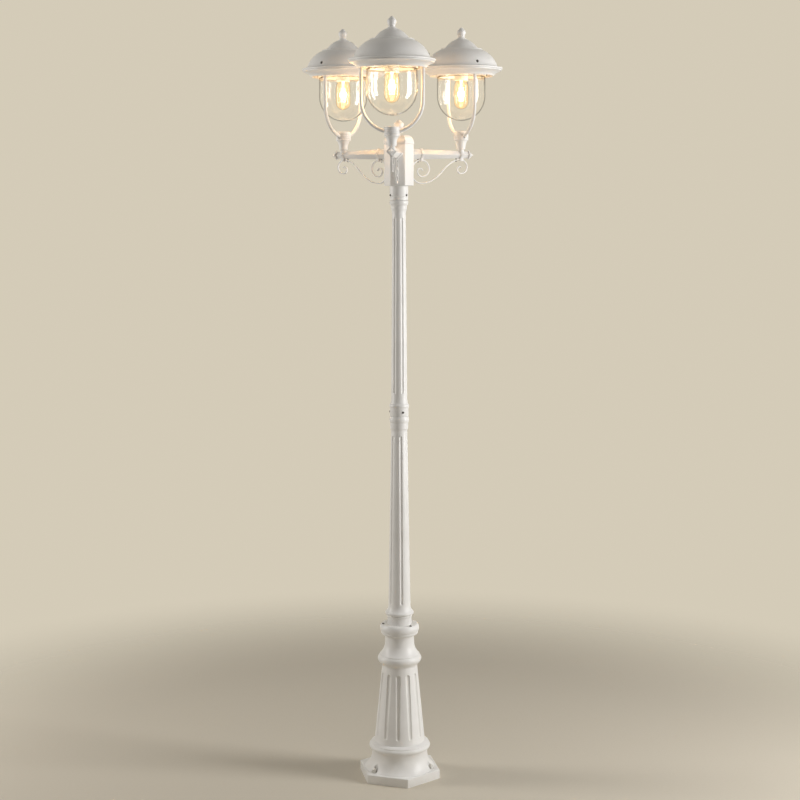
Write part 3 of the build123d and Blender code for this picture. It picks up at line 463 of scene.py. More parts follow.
def setScrew(length):
    # upright, with its key socket at height 0 and its point below
    radius, key = setScrewSet["radius"], setScrewSet["key"]
    body = spun([(0, -length), (radius - 0.8, -length), (radius, -length + 0.8), (radius, -0.4),
                 (radius - 0.4, 0), (0, 0)], 32)
    return carved(body, stacked(6, 0, [(key, -setScrewSet["keyDepth"]), (key, 1)]))


def makeSetScrews():
    s, h = setScrewSet, heights
    foot = ringed(3, moved(setScrew(19), footScrewPlace), s["footTurn"])
    piece("footScrews", foot, "dark_screw", "base", "foot_screws")
    coupling = outward(setScrew(7.2), h["coupling"] + s["couplingUp"])
    coupling = ringed(3, shifted(coupling, upperMastSet["collar"] + s["proud"]), upperTurn)
    piece("couplingScrews", coupling, "dark_screw", "upper_mast", "coupling_screws")
    hub = outward(setScrew(9.8), h["hubSeat"] + s["hubUp"])
    hub = ringed(3, shifted(hub, hubSet["collar"] + s["proud"]), s["hubTurn"])
    piece("hubScrews", hub, "dark_screw", "head", "hub_screws")


pedestalSet = {
    "plateCorner": 125.7, "edge": 1.5, "core": 69.0, "flareFoot": 103.9, "flareTop": 84.0, "torus": 86.5,
    "torusBead": 14.5, "coneFoot": 74.8, "coneTop": 52.4, "ring": 59.9, "neck": 42.4, "collar": 55.7,
    "shoulder": 53.0, "socket": 35.58, "ledge": 27.0, "padTop": 56.3, "flutes": 12, "fluteRadius": 9.5,
    "fluteDepth": 3.0, "margin": 14.0, "soft": 0.5, "around": 192,
}


def makePedestal():
    h, p, a = heights, pedestalSet, anchorSet
    corner, edge, bead = p["plateCorner"], p["edge"], h["torus"] + p["torusBead"]
    plate = stacked(6, lowerTurn, [(corner, 0), (corner, h["plate"] - edge),
                                   (corner - edge * 1.15, h["plate"])])
    column = soften(spun(outline(
        (p["core"], 0.3), (p["flareFoot"] - 0.4, 0.3), (p["flareFoot"], h["plate"]),
        (p["flareTop"], h["torus"], 9.0), (p["torus"], bead, -5.45), *groove(p["torus"], bead),
        (p["coneFoot"], h["cone"], -1.0), (p["coneTop"], h["ring"]), (p["ring"] - 3.5, h["ring"] + 10, 1.5),
        (p["ring"] - 1, h["ring"] + 12), (p["ring"], h["neck"], -5.1), *groove(p["ring"], h["neck"]),
        (p["neck"] + 1.5, h["neck"] + 31.5, 3.0), (p["neck"], h["collar"] - 4), (p["neck"] + 3, h["collar"]),
        (p["collar"] - 1.5, h["collar"] + 9, -4.0), (p["collar"], h["collar"] + 10),
        (p["shoulder"], h["shoulder"], -3.35), (p["socket"], h["shoulder"]), (p["socket"], h["socket"]),
        (p["ledge"], h["socket"]), (p["ledge"], h["neck"] + 6), (p["coneTop"] - 6, h["ring"]),
        (p["core"], h["cone"])), p["around"]), p["soft"], 22)
    shape = carved(soften(plate, 0.7), column, "UNION")
    low, high = h["cone"] + p["margin"], h["ring"] - p["margin"]
    cone = p["coneFoot"], h["cone"], p["coneTop"], h["ring"]
    cutter = flute(p["fluteRadius"], p["fluteDepth"], taper(*cone, low), low, taper(*cone, high), high)
    pad = shifted(pin(a["washer"] + 1, h["plate"], p["padTop"], 48), a["out"])
    slot = moved(pin(setScrewSet["hole"], -20, 4), footScrewPlace)
    shape = carved(shape, gathered(ringed(p["flutes"], cutter, lowerTurn + 180 / p["flutes"]),
                                   ringed(3, pad, a["turn"]), ringed(3, slot, setScrewSet["footTurn"])))
    bolt = shifted(pin(a["hole"], -1, h["plate"] + 1), a["out"])
    hollow = pin(p["core"], -1, h["plate"] - 0.1, 96)
    shape = carved(shape, gathered(ringed(3, bolt, a["turn"]), hollow))
    piece("pedestal", shape, "post_paint", "base", "pedestal")


mastSet = {"wall": 5.5, "flutes": 6, "fluteRadius": 6.5, "fluteDepth": 2.1, "margin": 1.5, "around": 144,
           "soft": 0.6}
lowerMastSet = {"foot": 35.5, "bead": 39.0, "bottom": 32.5, "top": 23.8, "capital": 26.2, "seat": 27.0,
                "spigot": 21.0, "spigotLength": 34.0}
upperMastSet = {"socket": 21.1, "collar": 27.0, "bottom": 23.2, "top": 19.8, "ring": 23.0, "bead": 26.0,
                "spigot": 18.0, "spigotLength": 30.0}


def fluted(shape, lowRadius, low, highRadius, high, turn):
    low, high = low + mastSet["margin"], high - mastSet["margin"]
    cutter = flute(mastSet["fluteRadius"], mastSet["fluteDepth"], lowRadius, low, highRadius, high)
    return carved(shape, ringed(mastSet["flutes"], cutter, turn))


def makeLowerMast():
    h, m = heights, lowerMastSet
    foot, bead, capital = m["foot"], h["footBead"], h["lowerTop"]
    seat, spigotTop = h["coupling"] - seatGap, h["coupling"] + m["spigotLength"]
    wideBore, bore = m["bottom"] - mastSet["wall"], m["spigot"] - mastSet["wall"]
    shape = soften(spun(outline(
        (wideBore, h["socket"] + 0.3), (foot, h["socket"] + 0.3), (foot, bead), (foot + 2, bead + 1.5),
        (foot + 2.7, bead + 4.5), *groove(foot + 2.7, bead + 4.5), (m["bead"], bead + 17, -3.4),
        (m["bottom"], h["lowerShaft"], 2.0), (m["top"], capital), (m["top"] + 1, capital + 15, 0.6),
        (m["capital"], capital + 16.5), (m["capital"], capital + 34), (m["seat"], h["coupling"] - 2, -1.9),
        (m["seat"], seat), (m["spigot"], seat), (m["spigot"], spigotTop), (bore, spigotTop),
        (bore, h["coupling"]), (wideBore, h["lowerShaft"])), mastSet["around"]), mastSet["soft"], 22)
    shape = fluted(shape, m["bottom"], h["lowerShaft"], m["top"], h["lowerTop"], lowerTurn)
    piece("lowerMast", shape, "post_paint", "lower_mast", "lower_mast")


def makeUpperMast():
    h, m = heights, upperMastSet
    foot, top, seat = h["coupling"], h["upperTop"], h["hubSeat"] - seatGap
    socketTop, spigotTop = foot + lowerMastSet["spigotLength"] + 2, h["hubSeat"] + m["spigotLength"]
    wideBore, bore = lowerMastSet["spigot"] - mastSet["wall"], m["spigot"] - mastSet["wall"]
    shape = soften(spun(outline(
        (m["socket"], foot + seatGap), (m["collar"], foot + seatGap), (m["collar"], foot + 26),
        (m["collar"] - 1.5, foot + 37, -2.4), (m["bottom"], h["upperShaft"], 1.0), (m["top"], top),
        (m["ring"] - 1, top + 18.6, 1.0), (m["ring"], top + 19.2), (m["ring"], top + 31),
        (m["bead"], h["hubSeat"] - 1, -2.5), (m["bead"] - 1, seat), (m["spigot"], seat),
        (m["spigot"], spigotTop), (bore, spigotTop), (bore, h["hubSeat"]), (wideBore, socketTop + 8),
        (wideBore, socketTop), (m["socket"], socketTop)), mastSet["around"]), mastSet["soft"], 22)
    shape = fluted(shape, m["bottom"], h["upperShaft"], m["top"], h["upperTop"], upperTurn)
    hole = shifted(outward(pin(setScrewSet["hole"], 0, 12), foot + setScrewSet["couplingUp"]), 20)
    shape = carved(shape, ringed(3, hole, upperTurn))
    piece("upperMast", shape, "post_paint", "upper_mast", "upper_mast")


hubSet = {"corner": 42.5, "wall": 4.6, "floor": 6.0, "soft": 1.3, "ring": 26.0, "collar": 26.6,
          "flange": 30.5, "socket": 18.08, "hole": 6.5}


def makeHub():
    h, b = heights, hubSet
    corner, inner, seat = b["corner"], b["corner"] - b["wall"], h["hubSeat"] + seatGap
    inside, socketTop = h["hub"] + b["floor"], h["hubSeat"] + upperMastSet["spigotLength"] + 2
    box = soften(stacked(6, 0, [(corner, h["hub"]), (corner, h["hubRim"])]), b["soft"], 30, 3)
    box = carved(box, stacked(6, 0, [(inner, inside), (inner, h["hubRim"] + 1)]))
    collar = soften(spun(outline(
        (b["socket"], seat), (b["ring"] - 1, seat), (b["ring"], seat + 1), (b["ring"], h["hubSeat"] + 9.5),
        (b["ring"] - 1.2, h["hubSeat"] + 10.2), (b["collar"], h["hubSeat"] + 11), (b["collar"], h["hub"] - 3),
        (b["flange"], h["hub"] + 1, 1.2), (b["flange"], inside - 0.1), (b["hole"], inside - 0.1),
        (b["hole"], socketTop), (b["socket"], socketTop)), 96), 0.4, 22)
    shape = carved(box, collar, "UNION")
    tenon = outward(pin(armSet["tenon"] + 0.2, 20, 45, 48), h["arm"])
    hole = shifted(outward(pin(setScrewSet["hole"], 0, 14), h["hubSeat"] + setScrewSet["hubUp"]), 17)
    holes = gathered(ringed(3, tenon, sides["front"]), ringed(3, hole, setScrewSet["hubTurn"]))
    shape = carved(shape, holes)
    piece("hub", shape, "post_paint", "head", "hub")


hubCapSet = {"corner": 44.6, "top": 13.0, "height": 31.5, "eave": 2.5, "curve": 82.0, "steps": 14, "hip": 1.1,
             "plug": 37.7, "plugDepth": 7.0, "wall": 4.0, "crown": 9.0}


def makeHubCap():
    low, c = heights["hubRim"], hubCapSet
    corner, eave, end = c["corner"], c["eave"], math.radians(c["curve"])
    levels = [(corner - 1, low), (corner, low + 0.8), (corner, low + eave - 0.6), (corner - 0.8, low + eave)]
    for step in range(1, c["steps"] + 1):
        angle = end * step / c["steps"]
        share = (1 - math.cos(angle)) / (1 - math.cos(end))
        rise = (c["height"] - eave) * math.sin(angle) / math.sin(end)
        levels.append((corner - (corner - c["top"]) * share - 0.8 * (1 - share), low + eave + rise))
    dome = stacked(6, 0, levels)
    hips = [edge for edge in dome.edges if abs(edge.verts[0].co.z - edge.verts[1].co.z) > 0.1
            and edge.calc_face_angle() > math.radians(12)]
    bmesh.ops.bevel(dome, geom=hips, offset=c["hip"], offset_type="OFFSET", segments=3, profile=0.5,
                    affect="EDGES", clamp_overlap=True, material=-1)
    inner = c["plug"] - c["wall"]
    hollow = [(inner + 0.2, low - 1), (inner + 0.2, low), (c["top"], low + c["height"] - c["crown"])]
    dome = carved(dome, stacked(6, 0, hollow))
    dome = carved(dome, pin(finialSet["hub"]["stud"], low, low + 40))
    plug = carved(stacked(6, 0, [(c["plug"], low - c["plugDepth"]), (c["plug"], low + 0.4)]),
                  stacked(6, 0, [(inner, low - c["plugDepth"] - 1), (inner, low + 1)]))
    piece("hubCap", carved(dome, plug, "UNION"), "post_paint", "head", "hub_cap")


finialSet = {
    "hub": {"base": 11.5, "neck": 8.4, "belly": 14.0, "height": 38.0, "stud": 4.0, "studLength": 10.0},
    "roof": {"base": 15.0, "neck": 8.6, "belly": 12.3, "height": 34.4, "stud": 2.9, "studLength": 6.0},
}


def finial(look):
    # a turned pointed knob with a bead under its belly, on its stud
    base, neck, belly, height = look["base"], look["neck"], look["belly"], look["height"]
    stud, studLength = look["stud"], look["studLength"]
    knob = spun(outline(
        (0, 0), (base, 0), (base, height * 0.05), (neck + 1.2, height * 0.17, height * 0.035),
        (neck, height * 0.25), (neck + 1.3, height * 0.285, -0.4), (neck + 0.6, height * 0.32, -0.35),
        (belly, height * 0.56, height * -0.03), (belly * 0.72, height * 0.78, height * -0.045),
        (1.2, height * 0.985, height * -0.02), (0, height)), 96)
    shank = spun([(0, -studLength), (stud, -studLength), (stud, -0.02), (0, -0.02)], 32)
    return gathered(soften(knob, 0.35, 24), shank)


def makeFinials():
    hub = shifted(finial(finialSet["hub"]), 0, 0, heights["hubTop"])
    piece("hubFinial", hub, "post_paint", "head", "hub_finial")
    roof = shifted(finial(finialSet["roof"]), lanternReach, 0, heights["roofTop"])
    threeTimes("RoofFinial", roof, "lantern_paint", "*_roof", "roof_finial")


armSet = {"root": 15.5, "end": 10.0, "length": 184.8, "bore": 5.5, "tenon": 9.0, "tenonLength": 13.0,
          "soft": 0.9}
tipSet = {"half": 13.5, "plate": 4.0, "step": 9.7, "point": 13.0, "soft": 0.45}


def armHalf(out):
    # half the arm's diagonal at a distance from the mast's axis
    return armSet["root"] - (armSet["root"] - armSet["end"]) * (out - hubFace) / armSet["length"]


def armStretch(near, far):
    return outward(stacked(4, 0, [(armHalf(near), near), (armHalf(far), far)]), heights["arm"])


def makeArms():
    z, end = heights["arm"], hubFace + armSet["length"]
    tenon = outward(soften(pin(armSet["tenon"], hubFace - armSet["tenonLength"], hubFace + 1, 48), 0.4), z)
    shape = carved(soften(armStretch(hubFace, end), armSet["soft"], 30, 3), tenon, "UNION")
    shape = carved(shape, outward(pin(armSet["bore"], 20, lanternReach + 5), z))
    threeTimes("Arm", shape, "post_paint", "head", "arm")
    half, step, face = tipSet["half"], tipSet["step"], end + tipSet["plate"]
    tip = stacked(4, 0, [(half, end), (half, face - 0.8), (half - 1.1, face - 0.1), (step + 1.4, face - 0.1),
                         (step, face + 0.7), (step * 0.52, face + 6.9), (0.9, face + tipSet["point"])])
    inThrees("armTips", outward(soften(tip, tipSet["soft"], 20), z), "post_paint", "arm_tips", crease=20)


scrollSet = {
    "thick": 3.4, "wide": 6.0, "start": 74.8, "heading": 98.0, "foot": 1790.55, "under": 15.4, "soft": 0.7,
    "pointsPerBend": 40,
    # radius and turn of each bend
    "bends": ((8.4, 178), (16.2, 99.5), (23.2, 94.5), (25.0, 77.5), (33.5, 77), (33.0, 94), (68.0, 34.6),
              (155.0, 16), (98.0, -9.2), (100.0, -22), (24.3, -85.4), (18.7, -124.7), (11.2, -95.4),
              (6.9, -118)),
}


def scrollWalk():
    # each bend of the strip: its centre, its turn and the points along it, in the plane of X out and Z up
    here, heading = Vector((scrollSet["start"], scrollSet["foot"])), math.radians(scrollSet["heading"])
    count = scrollSet["pointsPerBend"]
    for radius, turn in scrollSet["bends"]:
        aside = Vector((-math.sin(heading), math.cos(heading))) * math.copysign(radius, turn)
        centre = here + aside
        points = []
        for i in range(1, count + 1):
            share = math.radians(turn) * i / count
            points.append(centre + Matrix.Rotation(share, 2) @ (here - centre))
        yield centre, turn, points
        here, heading = points[-1], heading + math.radians(turn)


def stripLow(out, reach):
    # the underside of the strip's upper part, at its lowest within a reach of a distance out
    low = heights["arm"]
    for _, _, points in scrollWalk():
        for point in points:
            if abs(point.x - out) <= reach + 0.5 and point.y > scrollSet["foot"] + scrollSet["under"]:
                low = min(low, point.y)
    return low - scrollSet["thick"] / 2


def makeScrolls():
    bm = bmesh.new()
    start = Matrix.Translation((scrollSet["start"], 0, scrollSet["foot"]))
    start @= Matrix.Rotation(math.radians(90 - scrollSet["heading"]), 4, "Y")
    section = Matrix.Diagonal((scrollSet["thick"], scrollSet["wide"], 1, 1))
    bmesh.ops.create_grid(bm, x_segments=1, y_segments=1, size=0.5, matrix=start @ section)
    last = bm.verts[:] + bm.edges[:] + bm.faces[:]
    for centre, turn, _ in scrollWalk():
        steps = max(2, math.ceil(abs(turn) / 5))
        last = bmesh.ops.spin(bm, geom=last, cent=(centre.x, 0, centre.y), axis=(0, -1, 0),
                              angle=math.radians(turn), steps=steps, use_duplicate=False)["geom_last"]
    bmesh.ops.remove_doubles(bm, verts=bm.verts, dist=0.001)
    bmesh.ops.recalc_face_normals(bm, faces=bm.faces)
    threeTimes("Scroll", soften(bm, scrollSet["soft"], 40), "post_paint", "head", "scroll")


clipSet = {"wall": 1.8, "wide": 8.0, "yoke": 10.0, "soft": 0.35}


def bandOutline(out, width, wall):
    # round the arm's diamond and the strip below it, as (across, up) points
    half = armHalf(out) + wall * math.sqrt(2)
    drop = heights["arm"] - stripLow(out, width / 2) + 0.1 + wall
    side = scrollSet["wide"] / 2 + 0.05 + wall
    return [(0, half), (half, 0), (side, side - half), (side, -drop), (-side, -drop), (-side, side - half),
            (-half, 0)]


def band(out, width):
    bm = bmesh.new()
    near = out - width / 2
    for wall in (clipSet["wall"], 0.15):
        loop = [bm.verts.new((near, y, heights["arm"] + z)) for y, z in bandOutline(out, width, wall)]
        for a, b in zip(loop, loop[1:] + loop[:1]):
            bm.edges.new((a, b))
    bmesh.ops.bridge_loops(bm, edges=bm.edges[:])
    drawnOut(bm, bm.faces[:], (width, 0, 0))
    bmesh.ops.recalc_face_normals(bm, faces=bm.faces)
    return soften(bm, clipSet["soft"], 30)


screwSet = {
    "scroll": {"head": 2.8, "height": 2.0, "shank": 1.6}, "cap": {"head": 2.3, "height": 1.4, "shank": 1.2},
    "roof": {"head": 4.0, "height": 3.0, "shank": 2.2},
}


def domedScrew(kind, length):
    # a slotted domed head, head up, its seat at height 0
    radius, height, shank = screwSet[kind]["head"], screwSet[kind]["height"], screwSet[kind]["shank"]
    head = spun(outline((0, -length), (shank, -length), (shank, 0), (radius, 0), (radius, height * 0.35),
                        (radius * 0.45, height * 0.96, height * -0.12), (0, height)), 40)
    slot = block((-radius * 0.6, -radius * 0.13, height * 0.45), (radius * 0.6, radius * 0.13, height + 1))
    return carved(head, slot)


def makeClips():
    inThrees("scrollClips", band(clipOut, clipSet["wide"]), "post_paint", "scroll_clips")
    screws = []
    for out in (clipOut - 11, lanternReach - 16):
        seat = stripLow(out, screwSet["scroll"]["head"]) - 0.1
        screw = turnedBy(domedScrew("scroll", heights["arm"] - 7 - seat), 180, "X")
        screws.append(shifted(screw, out, 0, seat))
    inThrees("scrollScrews", gathered(*screws), "dark_screw", "scroll_screws")


stemSet = {"foot": 1848.2, "ringLow": 1878.1, "saddle": 9.5, "neck": 8.0, "cupLow": 12.5, "cupHigh": 18.0,
           "ring": 21.5, "capHeight": 14.5, "capSink": 2.5, "capScrewOut": 11.0, "soft": 0.5}


def makeStems():
    s, bar = stemSet, heights["bar"]
    foot, ringLow, ring, start = s["foot"], s["ringLow"], s["ring"], heights["arm"] + 3
    turning = soften(spun(outline(
        (0, start), (s["saddle"], start), (s["saddle"], foot + 1), (s["neck"], foot + 3),
        (s["cupLow"], foot + 5, 0.6), (s["cupLow"], foot + 6.5), (s["cupHigh"], ringLow, 1.6),
        (ring, ringLow + 1.5), (ring, ringLow + 5), *groove(ring, ringLow + 5), (ring, bar - 0.1),
        (0, bar - 0.1)), 96), s["soft"], 22)
    turning = carved(shifted(turning, lanternReach), armStretch(170, 221))
    bed = moved(pin(stirrupSet["bar"] + 0.1, -40, 40), Matrix.Translation((lanternReach, 0, bar)) @ sideways)
    turning = carved(turning, bed.copy())
    stem = gathered(turning, band(lanternReach, clipSet["yoke"]))
    threeTimes("Stem", stem, "lantern_paint", "head", "stem")
    top = bar + s["capHeight"]
    sunk = top - s["capSink"]
    cap = soften(spun(outline(
        (0, bar + 0.1), (ring, bar + 0.1), (ring, bar + 3), *groove(ring, bar + 3), (ring, top - 2),
        (ring - 1.5, top, -0.4), (ring - 4, top), (ring - 4.6, sunk), (0, sunk)), 96), 0.35, 22)
    inThrees("stemCaps", carved(shifted(cap, lanternReach), bed), "lantern_paint", "stem_caps")
    screws = [shifted(domedScrew("cap", 3), lanternReach + x, 0, sunk - 0.1)
              for x in (-s["capScrewOut"], s["capScrewOut"])]
    inThrees("stemCapScrews", gathered(*screws), "dark_screw")


stirrupSet = {"bar": 5.0, "radius": 84.5, "flat": 3.6, "ear": 27.5, "slot": 2.4, "slotUp": 19.5}


def stirrupEar():
    # the leg's end above the deck, flattened, with an open-topped slot
    s, deck = stirrupSet, heights["deck"]
    bar, top, slotZ = s["bar"], deck + s["ear"], deck + s["slotUp"]
    ear = stacked(40, 0, [(bar - 0.05, deck - 1), (bar - 0.05, top - 0.6), (bar - 0.6, top)])
    for corner in ear.verts:
        corner.co.y = max(-s["flat"], min(s["flat"], corner.co.y))
    ear = carved(ear, block((-s["slot"], -8, slotZ), (s["slot"], 8, deck + 40)))
    return carved(ear, moved(pin(s["slot"], -8, 8), Matrix.Translation((0, 0, slotZ)) @ sideways))


def makeStirrups():
    bm = bmesh.new()
    radius, bend, deck = stirrupSet["radius"], heights["stirrup"], heights["deck"]
    bmesh.ops.create_circle(bm, cap_ends=True, segments=40, radius=stirrupSet["bar"],
                            matrix=Matrix.Translation((0, radius, deck)))
    last = drawnOut(bm, bm.faces[:], (0, 0, bend - deck))
    made = bmesh.ops.spin(bm, geom=last, cent=(0, 0, bend), axis=(-1, 0, 0), angle=math.pi, steps=60,
                          use_duplicate=False)["geom_last"]
    drawnOut(bm, [part for part in made if isinstance(part, bmesh.types.BMFace)], (0, 0, deck - bend))
    bmesh.ops.recalc_face_normals(bm, faces=bm.faces)
    parts = [soften(bm, 0.4, 60)]
    for side in (-1, 1):
        parts.append(shifted(stirrupEar(), 0, radius * side))
    threeTimes("Stirrup", shifted(gathered(*parts), lanternReach), "lantern_paint", "head", "stirrup")


gallerySet = {"lip": 116.5, "foot": 92.0, "height": 18.0, "fitter": 72.5, "fitterWall": 3.0,
              "fitterHeight": 15.0, "bridge": 13.0, "bridgeRing": 27.0, "holderHole": 14.7, "around": 144,
              "soft": 0.35}
glassScrewSet = {"head": 4.0, "shank": 2.0, "hole": 2.2, "down": 8.25, "turn": -9}


def makeGalleries():
    g, deck, rim = gallerySet, heights["deck"], heights["rim"] - 0.1
    foot = heights["rim"] - g["height"]
    lip, fitter, inner, low = g["lip"], g["fitter"], g["fitter"] - g["fitterWall"], deck - g["fitterHeight"]
    shape = soften(spun(outline(
        (inner, low), (fitter - 0.9, low), (fitter, low + 0.8), (fitter, deck), (lip - 5, deck),
        (g["foot"] - 2.9, foot), (g["foot"], foot), (g["foot"] + 3.2, foot + 3.4, -0.5),
        (lip - 3.9, foot + 13.4, 0.9), (lip - 1.9, foot + 14.3, -0.3), (lip, rim - 2.3, -0.5),
        (lip, rim - 0.5), (lip - 0.5, rim), (inner, rim)), g["around"]), g["soft"], 24)
    # a bridge across the fitter carries the lamp holder
    under, over = deck + 0.05, rim - 0.05
    bridge = block((-g["bridge"], -fitter + 1.9, under), (g["bridge"], fitter - 1.9, over))
    bridge = carved(bridge, pin(g["bridgeRing"], under, over, 64), "UNION")
    shape = carved(shape, bridge, "UNION")
    holes = [pin(g["holderHole"], deck - 1, rim + 1, 48)]
    wide, thick = stirrupSet["bar"] + 0.2, stirrupSet["flat"] + 0.2
    for y in (-stirrupSet["radius"], stirrupSet["radius"]):
        holes.append(block((-wide, y - thick, deck - 1), (wide, y + thick, rim + 1)))
    screw, screwZ = glassScrewSet, deck - glassScrewSet["down"]
    hole = outward(pin(screw["hole"], 64, 75, 24), screwZ)
    shape = carved(shape, gathered(*holes, ringed(3, hole, screw["turn"])))
    threeTimes("Gallery", shifted(shape, lanternReach), "spun_paint", "head", "gallery")
    head = screw["head"]
    thumb = stacked(24, 0, [(head - 0.3, 72.6), (head, 73.0), (head, 77.0), (head - 0.4, 77.4)])
    # every second line of corners goes in, for the grip
    for i, corner in enumerate(sorted(thumb.verts, key=lambda v: math.atan2(v.co.y, v.co.x))):
        if i // 4 % 2:
            corner.co.x, corner.co.y = corner.co.x * 0.9, corner.co.y * 0.9
    screws = outward(gathered(thumb, pin(screw["shank"], 65.4, 72.8, 24)), screwZ)
    screws = shifted(ringed(3, screws, screw["turn"]), lanternReach)
    inThrees("glassScrews", screws, "dark_screw", "glass_screws", crease=20)


globeSet = {"radius": 70.5, "wall": 3.0, "neck": 65.0, "shoulder": 2062.2, "side": 57.3, "neckHeight": 13.5,
            "around": 160}


def makeGlobes():
    outer, wall, z = globeSet["radius"], globeSet["wall"], globeSet["shoulder"]
    inner, neck, low, top = outer - wall, globeSet["neck"], z - globeSet["side"], z + globeSet["neckHeight"]
    shape = spun(outline(
        (0, low - outer), (outer, low, -outer * quarter), (outer, z - 2.4), (neck + 0.6, z, -0.9),
        (neck, z + 0.7, 0.15), (neck, top - 0.8), (neck - 0.8, top, -0.25), (neck - wall + 0.8, top),
        (neck - wall, top - 0.8, -0.25), (neck - wall, z - wall + 0.6), (inner, z - wall - 2, 0.5),
        (inner, low), (0, low - inner, inner * quarter)), globeSet["around"])
    threeTimes("Globe", shifted(shape, lanternReach), "globe_glass", "*_globe", "globe", crease=50)


holderSet = {"skirt": 20.0, "skirtHeight": 27.0, "shoulder": 14.5, "top": 18.0, "socket": 13.6, "ribs": 4,
             "ribPitch": 4.4, "leadHole": 2.5}


def makeHolders():
    s, deck, rim = holderSet, heights["deck"], heights["rim"]
    radius, socket, shoulder = s["skirt"], s["socket"], s["shoulder"]
    low, top = deck - s["skirtHeight"], rim + s["top"]
    ribs = []
    for i in range(s["ribs"]):
        z = low + 5 + i * s["ribPitch"]
        ribs += [(radius, z), (radius - 0.7, z + 0.7), (radius - 0.7, z + 1.5), (radius, z + 2.2)]
    shape = soften(spun(outline(
        (socket, low), (radius - 1.5, low), (radius, low + 1.5), *ribs, (radius, deck - 0.1),
        (shoulder, deck - 0.1), (shoulder, top - 2), (shoulder - 2, top), (0, top), (0, deck - 2),
        (socket, deck - 2)), 96), 0.25, 24)
    leadHole = Matrix.Translation((0, 0, rim + s["top"] / 2)) @ sideways.inverted()
    shape = carved(shape, moved(pin(s["leadHole"], 10, 16, 24), leadHole))
    threeTimes("LampHolder", shifted(shape, lanternReach), "holder", "head", "lamp_holder")


bulbSet = {"cap": 13.3, "capLength": 25.0, "threads": 4, "pitch": 3.6, "depth": 0.8, "contact": 4.5,
           "radius": 21.5, "wall": 1.2, "neck": 15.5, "neckLength": 18.0, "length": 82.0}
filamentSet = {"sticks": 4, "radius": 1.1, "length": 38.0, "circle": 6.0, "down": 20.0, "disc": 7.6,
               "post": 2.5, "flare": 5.5}


def makeBulbs():
    b, low, top = bulbSet, heights["bulb"], heights["bulb"] + bulbSet["capLength"]
    threads = []
    for i in range(b["threads"] * 8):
        depth = b["depth"] * (0.5 - 0.5 * math.cos(math.tau * i / 8))
        threads.append((b["cap"] - depth, low + 3 + b["pitch"] * i / 8))
    cap = spun(outline((0, low), (b["cap"], low), *threads, (b["cap"] - 2, top - 4, -0.3),
                       (b["contact"] + 0.5, top - 2), (b["contact"], top), (0, top)), 72)
    threeTimes("BulbBase", shifted(cap, lanternReach), "cap_metal", "*_bulb", "bulb_base")
    radius, wall, neck = b["radius"], b["wall"], b["neck"]
    shoulder, bottom = low - b["neckLength"], low - b["length"]
    inner, roundAt = radius - wall, bottom + radius
    envelope = spun(outline(
        (0, bottom), (radius, roundAt, -radius * quarter), (radius, shoulder), (neck, low, -1.2),
        (neck - wall - 1.6, low), (inner, shoulder, 1.2), (inner, roundAt),
        (0, bottom + wall, inner * quarter)), 96)
    threeTimes("BulbGlass", shifted(envelope, lanternReach), "bulb_glass", "*_bulb", "bulb_glass", crease=60)


def makeFilaments():
    f, high = filamentSet, heights["bulb"] - filamentSet["down"]
    length = f["length"]
    stick = spun([(0, 0), (f["radius"], 0), (f["radius"], length), (0, length)], 16)
    sticks = ringed(f["sticks"], shifted(stick, f["circle"], 0, high - length))
    disc = spun([(0, 0), (f["disc"], 0), (f["disc"], 1), (0, 1)], 32)
    post = spun(outline((0, 0), (f["post"], 0), (f["post"], 14), (f["flare"], 20, 0.8), (0, 20)), 32)
    lit = gathered(sticks, shifted(disc.copy(), 0, 0, high - 1), shifted(disc, 0, 0, high - 1 - length),
                   shifted(post, 0, 0, high))
    threeTimes("BulbFilament", shifted(lit, lanternReach), "filament", "*_bulb", "bulb_filament")


roofSet = {"lip": 118.8, "lipHeight": 5.4, "dome": 104.6, "domeHeight": 46.0, "step": 64.0, "stepHeight": 7.0,
           "upper": 46.6, "upperHeight": 24.0, "crown": 18.0, "wall": 2.5, "stud": 3.0, "around": 160,
           "soft": 0.35, "screwUp": 17.0, "screwSeat": 99.4, "screwIn": 80.9}


